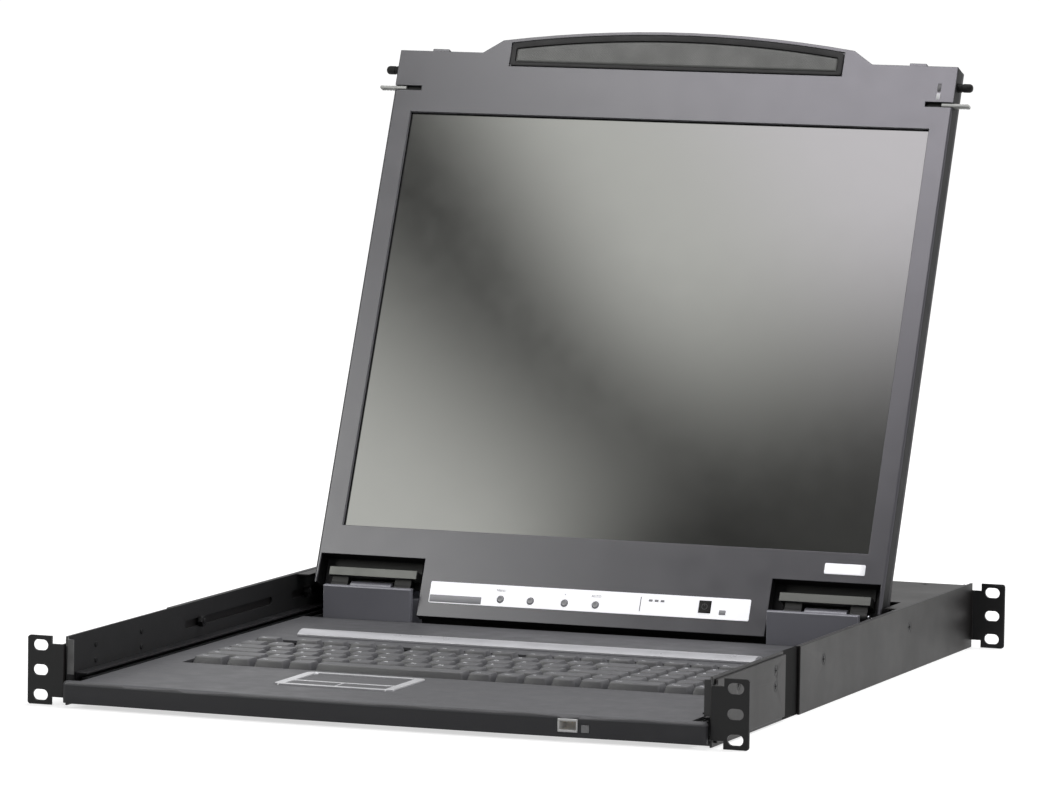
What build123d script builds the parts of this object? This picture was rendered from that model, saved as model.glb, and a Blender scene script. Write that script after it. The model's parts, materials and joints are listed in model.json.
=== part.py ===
from build123d import *
import os
from math import sin, cos, radians, sqrt

os.makedirs("parts", exist_ok=True)

# ---------------------------------------------------------------- driving dimensions (mm)
# Frame: X to the right, Y to the rear, Z up. The origin is the centre of the front rack-hole
# pattern, in the rear face of the front ears. Heights h are counted from the underside.
rack_half_height = 22.0          # the chassis is 44 high
rack_height = 44.0
rack_width = 482.6               # over the ears
hole_x = 232.55                  # rack hole centre lines
hole_h = (6.125, 22.0, 37.875)   # the three rack holes of one unit
slot_len, slot_w = 10.5, 7.0

wall_x = 215.0                   # inner face of the chassis side walls
wall_t = 1.5
floor_t = 1.2
chassis_y0, chassis_y1 = 1.0, 535.0
bracket_t = 2.0
front_plate_y = 138.0            # rear end of the front side plates
rear_plate_y0, rear_ear_y = 167.0, 545.0

cover_y0 = 420.0                 # rear bay cover
cover_h = 42.5

slide_h0, slide_h1 = 2.0, 20.0   # outer slide member

deck_half = 204.5
deck_h, deck_t = 16.5, 2.0
deck_rear = 372.0
lip_half = 215.4                 # the front lip closes the mouth of the chassis
lip_h0 = 2.6
lip_back, lip_end, lip_bow = -2.6, -7.5, -13.5
tray_half, tray_t = 204.9, 1.5
tray_y0, tray_y1 = 6.0, 416.0
tray_h0, tray_h1 = 2.0, 14.4

key_pitch = 19.0
key_gap = 1.9
key_h0, key_h1 = 13.4, 20.0
keys_x0 = -180.5
well_x, well_y0, well_y1 = 184.0, 111.5, 247.0
pad_x, pad_y = -49.5, 69.0        # centre of the touchpad frame
port_x, port_h = 126.9, 9.9       # socket in the front lip

tilt = 23.0                      # display, from the vertical, at rest
axis_y, axis_h = 393.0, 35.5     # hinge axis
axis_s, axis_d = -42.0, 9.0      # the same axis in the display's own frame
lid_half = 203.3
lid_top, lid_bottom = 347.0, -21.5
lid_split, lid_back = 10.5, 17.0
tongue_half, tongue_bottom = 124.5, -62.0
pin_s, tab_s = 334.0, 319.3       # latch pin and finger tab, up the display
screen_w, screen_h = 377.0, 302.0
pin_r, knuckle_r = 2.0, 4.2


def z_at(h):
    """Z of a height above the underside."""
    return h - rack_half_height


# Display frame: local x across, local y up the display from the screen's lower edge,
# local z out of the screen, so a depth d behind the bezel face is local z = -d.
_sn, _cs = sin(radians(tilt)), cos(radians(tilt))
lid_origin = (
    0,
    axis_y - axis_s * _sn - axis_d * _cs,
    z_at(axis_h) - axis_s * _cs + axis_d * _sn,
)
lid_plane = Plane(origin=lid_origin, x_dir=(1, 0, 0), z_dir=(0, -_cs, _sn))


def depth(d):
    """Plane parallel to the screen, d behind the bezel face."""
    return lid_plane.offset(-d)


# ================================================================ chassis
with BuildPart() as chassis_tray:
    with BuildSketch(Plane.XY.offset(z_at(0))):
        with Locations((0, (8 + chassis_y1) / 2)):
            Rectangle(2 * (wall_x + wall_t), chassis_y1 - 8)
    extrude(amount=floor_t)
    # side wall: two long slots for the rear bracket screws, holes for the front bracket screws
    with BuildSketch(Plane.YZ.offset(wall_x)):
        with Locations(((chassis_y0 + chassis_y1) / 2, 0)):
            Rectangle(chassis_y1 - chassis_y0, rack_height)
        with Locations((265, z_at(30)), (450, z_at(30))):
            SlotOverall(150, 5.4, mode=Mode.SUBTRACT)
        with Locations((45, z_at(34)), (118, z_at(34)), (45, z_at(24)), (118, z_at(24))):
            Circle(2.05, mode=Mode.SUBTRACT)
    extrude(amount=wall_t)
    # flange turned in at the front end of the wall; the latch pins close behind it
    with BuildSketch(Plane.XZ.offset(-chassis_y0)):
        with Locations(((211 + wall_x) / 2 + 0.05, z_at(30.75))):
            Rectangle(wall_x - 211 + 0.1, 22.5)
    extrude(amount=-1.2)
    # rear wall
    with BuildSketch(Plane.XZ.offset(-chassis_y1)):
        with Locations((0, z_at(21.2))):
            Rectangle(2 * wall_x + 0.2, 42.4)
    extrude(amount=1.2)
    mirror(about=Plane.YZ)
    # connector cut-outs and the vents of the rear wall
    with BuildSketch(Plane.XZ.offset(-chassis_y1 - 1)):
        with Locations((-140, z_at(21))):
            Rectangle(56.4, 24.4)
        with Locations((30, z_at(15))):
            Rectangle(19.4, 11.0)
        with GridLocations(7, 0, 14, 1):
            with Locations((132, z_at(22))):
                SlotOverall(26, 3, rotation=90)
    extrude(amount=4, mode=Mode.SUBTRACT)
    # vents in the floor of the rear bay
    with BuildSketch(Plane.XY.offset(z_at(0) - 1)):
        with Locations((-130, 478)):
            with GridLocations(9, 0, 9, 1):
                SlotOverall(50, 3.2, rotation=90)
    extrude(amount=4, mode=Mode.SUBTRACT)
chassis_tray.part.label = "chassis_tray"
export_step(chassis_tray.part, "parts/chassis_tray.step")

with BuildPart() as rear_cover:
    with BuildSketch(Plane.XY.offset(z_at(cover_h))):
        with Locations((0, (cover_y0 + 534.9) / 2)):
            Rectangle(2 * 214.8, 534.9 - cover_y0)
        # arms beside the display
        with Locations((210.4, cover_y0 - 17.9), (-210.4, cover_y0 - 17.9)):
            Rectangle(8.8, 36)
    extrude(amount=1.2)
    with BuildSketch(Plane.XY.offset(z_at(34))):
        with Locations((214.2, 477), (-214.2, 477)):
            Rectangle(1.2, 108)
        with Locations((0, cover_y0 + 0.6)):
            Rectangle(400, 1.2)
    extrude(amount=cover_h - 34)
    # countersunk holes
    with Locations(
        Plane.XY.offset(z_at(cover_h + 1.2)) * Location((190, 428, 0)),
        Plane.XY.offset(z_at(cover_h + 1.2)) * Location((-190, 428, 0)),
        Plane.XY.offset(z_at(cover_h + 1.2)) * Location((190, 526, 0)),
        Plane.XY.offset(z_at(cover_h + 1.2)) * Location((-190, 526, 0)),
    ):
        CounterSinkHole(1.55, 2.9, depth=4)
    # stamped louvres over the power supply
    with BuildSketch(Plane.XY.offset(z_at(cover_h) - 1)):
        with Locations((0, 478)):
            with GridLocations(8, 0, 18, 1):
                SlotOverall(46, 2.6, rotation=90)
    extrude(amount=4, mode=Mode.SUBTRACT)
rear_cover.part.label = "rear_cover"
export_step(rear_cover.part, "parts/rear_cover.step")

# Front bracket: side plate against the wall, ear across the front
with BuildPart() as front_bracket_right:
    with BuildSketch(Plane.YZ.offset(wall_x + wall_t)):
        with Locations(((front_plate_y - 2) / 2, z_at(22.25))):
            Rectangle(front_plate_y + 2, 39.5)
        # relief beside the bend
        with Locations((1.5, z_at(3.5)), (1.5, z_at(40.75))):
            Rectangle(7.2, 3.5, mode=Mode.SUBTRACT)
    extrude(amount=bracket_t)
    with BuildSketch(Plane.XZ):
        with Locations(((wall_x + wall_t + 224.9) / 2, 0)):
            Rectangle(224.9 - wall_x - wall_t, 34)
        with Locations(((224.7 + rack_width / 2) / 2, 0)):
            Rectangle(rack_width / 2 - 224.7, rack_height)
        with Locations(*[(hole_x, z_at(h)) for h in hole_h]):
            SlotOverall(slot_len, slot_w, mode=Mode.SUBTRACT)
    extrude(amount=2.0)
    fillet(
        front_bracket_right.edges()
        .filter_by(Axis.Y)
        .filter_by(lambda e: e.center().X > rack_width / 2 - 0.1),
        2.0,
    )
    for y in (45, 118):
        for h in (24, 34):
            with Locations(Plane.YZ.offset(wall_x + wall_t + bracket_t) * Location((y, z_at(h), 0))):
                CounterSinkHole(2.05, 3.8, depth=5)
front_bracket_right.part.label = "front_bracket_right"
export_step(front_bracket_right.part, "parts/front_bracket_right.step")

with BuildPart() as front_bracket_left:
    mirror(front_bracket_right.part, about=Plane.YZ)
front_bracket_left.part.label = "front_bracket_left"
export_step(front_bracket_left.part, "parts/front_bracket_left.step")

# Countersunk screws: revolved about their own axis, flush with the plates
with BuildPart() as chassis_screws:
    for y in (45, 118):
        for h in (24, 34):
            with BuildSketch(Plane((0, y, z_at(h)), x_dir=(1, 0, 0), z_dir=(0, -1, 0))):
                with BuildLine():
                    Polyline(
                        (214.3, 0), (214.3, 2.0), (216.7, 2.0), (218.4, 3.7), (218.4, 0), close=True
                    )
                make_face()
            revolve(axis=Axis((0, y, z_at(h)), (1, 0, 0)))
    mirror(about=Plane.YZ)
    for x in (-190, 190):
        for y in (428, 526):
            with BuildSketch(Plane((x, y, 0), x_dir=(1, 0, 0), z_dir=(0, -1, 0))):
                with BuildLine():
                    Polyline(
                        (0, z_at(37)), (1.5, z_at(37)), (1.5, z_at(42.35)), (2.8, z_at(43.65)),
                        (0, z_at(43.65)), close=True,
                    )
                make_face()
            revolve(axis=Axis((x, y, 0), (0, 0, 1)))
chassis_screws.part.label = "chassis_screws"
export_step(chassis_screws.part, "parts/chassis_screws.step")

# Rear bracket: long side plate that slides along the wall, ear at its rear end
rear_x0 = wall_x + wall_t + 0.1
with BuildPart() as rear_bracket_right:
    with BuildSketch(Plane.YZ.offset(rear_x0)):
        with Locations(((rear_plate_y0 + rear_ear_y) / 2, 0)):
            Rectangle(rear_ear_y - rear_plate_y0, rack_height)
    extrude(amount=bracket_t)
    with BuildSketch(Plane.XZ.offset(-rear_ear_y)):
        with Locations(((rear_x0 + 224.9) / 2, 0)):
            Rectangle(224.9 - rear_x0, 34)
        with Locations(((224.7 + rack_width / 2) / 2, 0)):
            Rectangle(rack_width / 2 - 224.7, rack_height)
        with Locations(*[(hole_x, z_at(h)) for h in hole_h]):
            SlotOverall(slot_len, slot_w, mode=Mode.SUBTRACT)
    extrude(amount=-2.0)
    with BuildSketch(Plane.XY.offset(z_at(5))):
        with Locations((rear_x0 + bracket_t / 2, rear_ear_y + 1)):
            Rectangle(bracket_t, 2)
    extrude(amount=34)
    fillet(
        rear_bracket_right.edges()
        .filter_by(Axis.Y)
        .filter_by(lambda e: e.center().X > rack_width / 2 - 0.1),
        2.0,
    )
    for y in (215, 400):
        with Locations(Plane.YZ.offset(rear_x0 + bracket_t) * Location((y, z_at(30), 0))):
            CounterSinkHole(2.05, 4.0, depth=5)
rear_bracket_right.part.label = "rear_bracket_right"
export_step(rear_bracket_right.part, "parts/rear_bracket_right.step")

with BuildPart() as rear_bracket_left:
    mirror(rear_bracket_right.part, about=Plane.YZ)
rear_bracket_left.part.label = "rear_bracket_left"
export_step(rear_bracket_left.part, "parts/rear_bracket_left.step")

# Clamp screws of the rear bracket, each with its nut on the inside of the wall
with BuildPart() as bracket_screws_right:
    for y in (215, 400):
        with BuildSketch(Plane((0, y, z_at(30)), x_dir=(1, 0, 0), z_dir=(0, -1, 0))):
            with BuildLine():
                Polyline(
                    (211.2, 0), (211.2, 2.0), (216.6, 2.0), (218.5, 3.9), (218.5, 0), close=True
                )
            make_face()
        revolve(axis=Axis((0, y, z_at(30)), (1, 0, 0)))
        with BuildSketch(Plane((211.8, y, z_at(30)), x_dir=(0, 1, 0), z_dir=(1, 0, 0))):
            RegularPolygon(radius=4.0, side_count=6)
        extrude(amount=3.1)
bracket_screws_right.part.label = "bracket_screws_right"
export_step(bracket_screws_right.part, "parts/bracket_screws_right.step")

with BuildPart() as bracket_screws_left:
    mirror(bracket_screws_right.part, about=Plane.YZ)
bracket_screws_left.part.label = "bracket_screws_left"
export_step(bracket_screws_left.part, "parts/bracket_screws_left.step")

# Telescopic slides: three nested C sections
with BuildPart() as slide_outer_right:
    with BuildSketch(Plane.XZ.offset(-12)):
        with BuildLine():
            Polyline(
                (214.8, z_at(2)), (214.8, z_at(20)), (206.5, z_at(20)), (206.5, z_at(18.8)),
                (213.4, z_at(18.8)), (213.4, z_at(3.2)), (206.5, z_at(3.2)), (206.5, z_at(2)),
                close=True,
            )
        make_face()
    extrude(amount=-488)
slide_outer_right.part.label = "slide_outer_right"
export_step(slide_outer_right.part, "parts/slide_outer_right.step")

with BuildPart() as slide_outer_left:
    mirror(slide_outer_right.part, about=Plane.YZ)
slide_outer_left.part.label = "slide_outer_left"
export_step(slide_outer_left.part, "parts/slide_outer_left.step")

with BuildPart() as slide_middle_right:
    with BuildSketch(Plane.XZ.offset(-14)):
        with BuildLine():
            Polyline(
                (210.8, z_at(5.2)), (210.8, z_at(16.8)), (206.6, z_at(16.8)), (206.6, z_at(15.6)),
                (209.6, z_at(15.6)), (209.6, z_at(6.4)), (206.6, z_at(6.4)), (206.6, z_at(5.2)),
                close=True,
            )
        make_face()
    extrude(amount=-456)
slide_middle_right.part.label = "slide_middle_right"
export_step(slide_middle_right.part, "parts/slide_middle_right.step")

with BuildPart() as slide_middle_left:
    mirror(slide_middle_right.part, about=Plane.YZ)
slide_middle_left.part.label = "slide_middle_left"
export_step(slide_middle_left.part, "parts/slide_middle_left.step")

with BuildPart() as slide_inner_right:
    with BuildSketch(Plane.XZ.offset(-16)):
        with BuildLine():
            Polyline(
                (205.0, z_at(8.4)), (208.8, z_at(8.4)), (208.8, z_at(9.4)), (206.2, z_at(9.4)),
                (206.2, z_at(12.6)), (208.8, z_at(12.6)), (208.8, z_at(13.6)), (205.0, z_at(13.6)),
                close=True,
            )
        make_face()
    extrude(amount=-409)
slide_inner_right.part.label = "slide_inner_right"
export_step(slide_inner_right.part, "parts/slide_inner_right.step")

with BuildPart() as slide_inner_left:
    mirror(slide_inner_right.part, about=Plane.YZ)
slide_inner_left.part.label = "slide_inner_left"
export_step(slide_inner_left.part, "parts/slide_inner_left.step")

# Converter board on four standoffs
with BuildPart() as main_board:
    with BuildSketch(Plane.XY.offset(z_at(7))):
        with Locations((80, 483)):
            Rectangle(220, 84)
    extrude(amount=1.6)
    with BuildSketch(Plane.XY.offset(z_at(floor_t))):
        with Locations((80, 483)):
            with GridLocations(206, 70, 2, 2):
                Circle(3)
    extrude(amount=7 - floor_t)
    with BuildSketch(Plane.XY.offset(z_at(8.6))):
        with Locations((40, 480)):
            Rectangle(28, 28)
        with Locations((105, 470), (105, 498)):
            Rectangle(16, 12)
        with Locations((150, 484)):
            Rectangle(20, 46)
    extrude(amount=2.4)
    with BuildSketch(Plane.XY.offset(z_at(8.6))):
        with Locations((-10, 462), (-10, 478), (175, 460)):
            Circle(5)
    extrude(amount=14)
main_board.part.label = "main_board"
export_step(main_board.part, "parts/main_board.step")

with BuildPart() as power_supply:
    with BuildSketch(Plane.XY.offset(z_at(floor_t))):
        with Locations((-140, 472)):
            Rectangle(104, 72)
    extrude(amount=36)
    chamfer(power_supply.edges().filter_by(Axis.Z), 1.5)
    chamfer(power_supply.faces().sort_by(Axis.Z)[-1].edges(), 1.0)
power_supply.part.label = "power_supply"
export_step(power_supply.part, "parts/power_supply.step")

# Mains inlet with the window of the rocker beside it, three blades inside
inlet_x, rocker_x, inlet_z = -151.0, -122.0, z_at(21)
with BuildPart() as power_inlet:
    with BuildSketch(Plane.XZ.offset(-513)):
        with Locations((-140, inlet_z)):
            Rectangle(56, 24)
    extrude(amount=-22)
    with BuildSketch(Plane.XZ.offset(-535)):
        with Locations((-140, inlet_z)):
            RectangleRounded(62, 29, 2)
    extrude(amount=-2)
    # socket cavity, with the two upper corners cut off
    with BuildSketch(Plane.XZ.offset(-537)):
        with BuildLine():
            Polyline(
                (inlet_x - 12, inlet_z - 8), (inlet_x + 12, inlet_z - 8), (inlet_x + 12, inlet_z + 3),
                (inlet_x + 7, inlet_z + 8), (inlet_x - 7, inlet_z + 8), (inlet_x - 12, inlet_z + 3),
                close=True,
            )
        make_face()
    extrude(amount=19, mode=Mode.SUBTRACT)
    with BuildSketch(Plane.XZ.offset(-518)):
        with Locations((inlet_x - 7, inlet_z - 2), (inlet_x + 7, inlet_z - 2), (inlet_x, inlet_z + 2)):
            Rectangle(2, 4)
    extrude(amount=-13)
    # rocker window
    with BuildSketch(Plane.XZ.offset(-537)):
        with Locations((rocker_x, inlet_z)):
            Rectangle(13, 20.4)
    extrude(amount=16, mode=Mode.SUBTRACT)
power_inlet.part.label = "power_inlet"
export_step(power_inlet.part, "parts/power_inlet.step")

# Rocker, tilted 8 degrees at rest, on its cross axis
rocker_plane = Plane((rocker_x, 531, inlet_z), x_dir=(1, 0, 0), z_dir=(0, 1, 0)).rotated((8, 0, 0))
with BuildPart() as power_rocker:
    with BuildSketch(rocker_plane.offset(-3.5)):
        Rectangle(12, 17.4)
    extrude(amount=9)
    fillet(power_rocker.edges().filter_by(lambda e: abs(e.tangent_at(0.5).X) > 0.9), 1.2)
power_rocker.part.label = "power_rocker"
export_step(power_rocker.part, "parts/power_rocker.step")

# Console connector: flange, D-shaped shell and two jack screws
with BuildPart() as video_port:
    with BuildSketch(Plane.XZ.offset(-520)):
        with Locations((30, z_at(15))):
            Rectangle(18.6, 10.2)
    extrude(amount=-15)
    with BuildSketch(Plane.XZ.offset(-535)):
        with Locations((30, z_at(15))):
            RectangleRounded(31, 12.4, 1)
    extrude(amount=-1)
    with BuildSketch(Plane.XZ.offset(-536)):
        with BuildLine():
            Polyline(
                (21.6, z_at(19.1)), (38.4, z_at(19.1)), (36.6, z_at(10.9)), (23.4, z_at(10.9)),
                close=True,
            )
        make_face()
        fillet(vertices(), 2.0)
    extrude(amount=-5.6)
    with BuildSketch(Plane.XZ.offset(-536)):
        with Locations((17.5, z_at(15)), (42.5, z_at(15))):
            RegularPolygon(radius=2.9, side_count=6)
    extrude(amount=-5)
video_port.part.label = "video_port"
export_step(video_port.part, "parts/video_port.step")

# ================================================================ drawer
with BuildPart() as drawer_tray:
    with BuildSketch(Plane.XY.offset(z_at(tray_h0))):
        with Locations((0, (tray_y0 + tray_y1) / 2)):
            Rectangle(2 * tray_half, tray_y1 - tray_y0)
    extrude(amount=tray_h1 - tray_h0)
    with BuildSketch(Plane.XY.offset(z_at(tray_h0 + 1.2))):
        with Locations((0, (tray_y0 + tray_y1) / 2)):
            Rectangle(2 * (tray_half - tray_t), tray_y1 - tray_y0 - 2 * 1.2)
    extrude(amount=20, mode=Mode.SUBTRACT)
    # holes for the hinge screws
    with BuildSketch(Plane.XY.offset(z_at(tray_h0) - 1)):
        for sx in (-1, 1):
            with Locations((sx * 143, 384), (sx * 177, 384)):
                Circle(2.05)
    extrude(amount=4, mode=Mode.SUBTRACT)
drawer_tray.part.label = "drawer_tray"
export_step(drawer_tray.part, "parts/drawer_tray.step")

# Deck: flat plate with a wide, slightly bowed front lip, the keyboard well and the touchpad opening
with BuildPart() as deck_cover:
    with BuildSketch(Plane.XY.offset(z_at(lip_h0))):
        with BuildLine():
            Line((-lip_half, lip_back), (-lip_half, lip_end))
            ThreePointArc((-lip_half, lip_end), (0, lip_bow), (lip_half, lip_end))
            Line((lip_half, lip_end), (lip_half, lip_back))
            Line((lip_half, lip_back), (-lip_half, lip_back))
        make_face()
        fillet(vertices().group_by(Axis.Y)[0], 3.6)
    extrude(amount=deck_h - lip_h0)
    # rounded upper front edge
    fillet(
        deck_cover.faces()
        .sort_by(Axis.Z)[-1]
        .edges()
        .filter_by(lambda e: e.center().Y < lip_back - 0.5),
        2.4,
    )
    with BuildSketch(Plane.XY.offset(z_at(deck_h - deck_t))):
        with Locations((0, (deck_rear + lip_back - 1) / 2)):
            Rectangle(2 * deck_half, deck_rear - lip_back + 1)
    extrude(amount=deck_t)
    # short skirt behind the lip
    with BuildSketch(Plane.XY.offset(z_at(lip_h0))):
        with Locations((0, 1.2)):
            Rectangle(2 * deck_half, 8.4)
    extrude(amount=deck_h - deck_t - lip_h0)
    # hollow of the lip, open at the bottom and to the rear
    with BuildSketch(Plane.XY.offset(z_at(lip_h0) - 1)):
        with BuildLine():
            Line((-deck_half + 2.6, 6), (-deck_half + 2.6, lip_end + 2.0))
            ThreePointArc(
                (-deck_half + 2.6, lip_end + 2.0), (0, lip_bow + 2.8), (deck_half - 2.6, lip_end + 2.0)
            )
            Line((deck_half - 2.6, lip_end + 2.0), (deck_half - 2.6, 6))
            Line((deck_half - 2.6, 6), (-deck_half + 2.6, 6))
        make_face()
    extrude(amount=deck_h - deck_t - lip_h0 + 1, mode=Mode.SUBTRACT)
    # keyboard well and touchpad opening
    with BuildSketch(Plane.XY.offset(z_at(deck_h) + 1)):
        with Locations((0, (well_y0 + well_y1) / 2)):
            RectangleRounded(2 * well_x, well_y1 - well_y0, 2)
        with Locations((pad_x, pad_y)):
            Rectangle(75, 56)
    extrude(amount=-6, mode=Mode.SUBTRACT)
    # windows in the front lip
    with BuildSketch(Plane.XZ.offset(40)):
        with Locations((port_x, z_at(port_h))):
            Rectangle(13.2, 8.6)
        with Locations((138.2, z_at(8.2))):
            Rectangle(5.6, 5.2)
    extrude(amount=-50, mode=Mode.SUBTRACT)
deck_cover.part.label = "deck_cover"
export_step(deck_cover.part, "parts/deck_cover.step")

with BuildPart() as keyboard_plate:
    with BuildSketch(Plane.XY.offset(z_at(9.6))):
        with Locations((0, (well_y0 + well_y1) / 2)):
            Rectangle(2 * well_x + 8, well_y1 - well_y0 + 8)
    extrude(amount=1.4)
    # feet down to the tray floor
    with BuildSketch(Plane.XY.offset(z_at(3.2))):
        with Locations((0, (well_y0 + well_y1) / 2)):
            with GridLocations(170, 120, 3, 2):
                Circle(3.5)
    extrude(amount=6.4)
    # rim up to the underside of the deck
    with BuildSketch(Plane.XY.offset(z_at(11))):
        with Locations((0, (well_y0 + well_y1) / 2)):
            Rectangle(2 * well_x + 8, well_y1 - well_y0 + 8)
            Rectangle(2 * well_x + 4, well_y1 - well_y0 + 4, mode=Mode.SUBTRACT)
    extrude(amount=3.5)
keyboard_plate.part.label = "keyboard_plate"
export_step(keyboard_plate.part, "parts/keyboard_plate.step")

# Key rows: widths in key pitches, a negative width is a gap
key_rows = {
    "key_row_function": (229.5, 13.6, [1, -0.5, 1, 1, 1, 1, -0.25, 1, 1, 1, 1, -0.25, 1, 1, 1, 1, 1, 1, 1, 1, 1]),
    "key_row_number": (202.5, 17.1, [1] * 13 + [2] + [1] * 4),
    "key_row_upper": (183.5, 17.1, [1.5] + [1] * 12 + [1.5] + [1] * 4),
    "key_row_home": (164.5, 17.1, [1.75] + [1] * 11 + [2.25] + [1] * 4),
    "key_row_lower": (145.5, 17.1, [2.25] + [1] * 10 + [1.75] + [1] * 5),
    "key_row_bottom": (126.5, 17.1, [1.25, 1, 1.25, 1, -5.5, 1, 1, 1, 1, 1, 2, 1, 1]),
    "space_bar": (126.5, 17.1, [-4.5, 5.5]),
}
for row_name, (row_y, key_depth, widths) in key_rows.items():
    with BuildPart() as key_row:
        x = keys_x0
        for w in widths:
            if w > 0:
                with BuildSketch(Plane.XY.offset(z_at(key_h0))):
                    with Locations((x + w * key_pitch / 2, row_y)):
                        Rectangle(w * key_pitch - key_gap, key_depth)
                extrude(amount=key_h1 - key_h0, taper=13)
            x += abs(w) * key_pitch
    key_row.part.label = row_name
    export_step(key_row.part, f"parts/{row_name}.step")

# Touchpad: frame over the opening, pad and two buttons in it
with BuildPart() as touchpad_frame:
    with BuildSketch(Plane.XY.offset(z_at(deck_h))):
        with Locations((pad_x, pad_y)):
            RectangleRounded(81, 62, 5)
    extrude(amount=0.9)
    with BuildSketch(Plane.XY.offset(z_at(12.5))):
        with Locations((pad_x, pad_y)):
            Rectangle(74, 55)
    extrude(amount=deck_h - 12.5)
    with BuildSketch(Plane.XY.offset(z_at(12.5) + 1.2)):
        with Locations((pad_x, pad_y + 8.6)):
            RectangleRounded(68.2, 35.4, 2)
        with Locations((pad_x - 17.3, pad_y - 18.6), (pad_x + 17.3, pad_y - 18.6)):
            Rectangle(33.6, 14.8)
    extrude(amount=10, mode=Mode.SUBTRACT)
touchpad_frame.part.label = "touchpad_frame"
export_step(touchpad_frame.part, "parts/touchpad_frame.step")

with BuildPart() as touchpad:
    with BuildSketch(Plane.XY.offset(z_at(13.7))):
        with Locations((pad_x, pad_y + 8.6)):
            RectangleRounded(67.8, 35.0, 1.8)
    extrude(amount=2.9)
touchpad.part.label = "touchpad"
export_step(touchpad.part, "parts/touchpad.step")

with BuildPart() as touchpad_button_left:
    with BuildSketch(Plane.XY.offset(z_at(14.9))):
        with Locations((pad_x - 17.3, pad_y - 18.6)):
            Rectangle(33.0, 14.2)
    extrude(amount=2.4)
    chamfer(touchpad_button_left.faces().sort_by(Axis.Z)[-1].edges(), 0.4)
touchpad_button_left.part.label = "touchpad_button_left"
export_step(touchpad_button_left.part, "parts/touchpad_button_left.step")

with BuildPart() as touchpad_button_right:
    mirror(touchpad_button_left.part, about=Plane.YZ.offset(pad_x))
touchpad_button_right.part.label = "touchpad_button_right"
export_step(touchpad_button_right.part, "parts/touchpad_button_right.step")

# Bright ridge across the deck
with BuildPart() as trim_bar:
    with BuildSketch(Plane.YZ.offset(-167)):
        with BuildLine():
            Line((288, z_at(deck_h)), (268, z_at(deck_h)))
            Line((268, z_at(deck_h)), (268, z_at(deck_h + 1.6)))
            ThreePointArc(
                (268, z_at(deck_h + 1.6)), (276, z_at(deck_h + 4.2)), (288, z_at(deck_h + 1.0))
            )
            Line((288, z_at(deck_h + 1.0)), (288, z_at(deck_h)))
        make_face()
    extrude(amount=321)
trim_bar.part.label = "trim_bar"
export_step(trim_bar.part, "parts/trim_bar.step")

# Socket in the front lip: light housing with a flat slot and its tongue
with BuildPart() as usb_port:
    with BuildSketch(Plane.XZ.offset(12.2)):
        with Locations((port_x, z_at(port_h))):
            Rectangle(12.8, 8.2)
    extrude(amount=-15.5)
    with BuildSketch(Plane.XZ.offset(12.2)):
        with Locations((port_x, z_at(port_h))):
            Rectangle(11.2, 5.6)
    extrude(amount=-12, mode=Mode.SUBTRACT)
    with BuildSketch(Plane.XZ.offset(7.2)):
        with Locations((port_x, z_at(11.95))):
            Rectangle(9.8, 0.9)
    extrude(amount=-8)
usb_port.part.label = "usb_port"
export_step(usb_port.part, "parts/usb_port.step")

with BuildPart() as status_led:
    with BuildSketch(Plane.XZ.offset(11.4)):
        with Locations((138.2, z_at(8.2))):
            Rectangle(5.2, 4.8)
    extrude(amount=-7)
status_led.part.label = "status_led"
export_step(status_led.part, "parts/status_led.step")

with BuildPart() as keyboard_board:
    with BuildSketch(Plane.XY.offset(z_at(6))):
        with Locations((120, 66)):
            Rectangle(90, 60)
    extrude(amount=1.6)
    with BuildSketch(Plane.XY.offset(z_at(3.2))):
        with Locations((120, 66)):
            with GridLocations(80, 50, 2, 2):
                Circle(2.5)
    extrude(amount=2.8)
    with BuildSketch(Plane.XY.offset(z_at(7.6))):
        with Locations((118, 66)):
            Rectangle(16, 16)
    extrude(amount=1.6)
keyboard_board.part.label = "keyboard_board"
export_step(keyboard_board.part, "parts/keyboard_board.step")

# Hinge block: front wall, base, and the upright that carries the fixed knuckle
with BuildPart() as hinge_bracket_right:
    with BuildSketch(Plane.YZ.offset(127.3)):
        with BuildLine():
            Polyline(
                (372.9, z_at(3.2)), (396, z_at(3.2)), (396, z_at(30.2)), (390.2, z_at(30.2)),
                (390.2, z_at(6.4)), (378, z_at(6.4)), (378, z_at(39)), (372.9, z_at(39)), close=True,
            )
        make_face()
    extrude(amount=63.7)
    with BuildSketch(Plane.YZ.offset(148.2)):
        with Locations((axis_y, z_at(axis_h))):
            Circle(knuckle_r)
        with Locations((axis_y, z_at((30 + axis_h) / 2))):
            Rectangle(5.6, axis_h - 30)
    extrude(amount=29.6)
    with BuildSketch(Plane.YZ.offset(120)):
        with Locations((axis_y, z_at(axis_h))):
            Circle(pin_r)
    extrude(amount=80, mode=Mode.SUBTRACT)
    with BuildSketch(Plane.XY.offset(z_at(2))):
        with Locations((143, 384), (177, 384)):
            Circle(2.05)
    extrude(amount=8, mode=Mode.SUBTRACT)
    chamfer(
        hinge_bracket_right.edges().filter_by(Axis.X).filter_by(
            lambda e: e.center().Z > z_at(38.5)
        ),
        0.8,
    )
hinge_bracket_right.part.label = "hinge_bracket_right"
export_step(hinge_bracket_right.part, "parts/hinge_bracket_right.step")

with BuildPart() as hinge_bracket_left:
    mirror(hinge_bracket_right.part, about=Plane.YZ)
hinge_bracket_left.part.label = "hinge_bracket_left"
export_step(hinge_bracket_left.part, "parts/hinge_bracket_left.step")

with BuildPart() as hinge_pins:
    with BuildSketch(Plane.YZ.offset(132.5)):
        with Locations((axis_y, z_at(axis_h))):
            Circle(pin_r)
    extrude(amount=61)
    mirror(about=Plane.YZ)
hinge_pins.part.label = "hinge_pins"
export_step(hinge_pins.part, "parts/hinge_pins.step")

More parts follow.
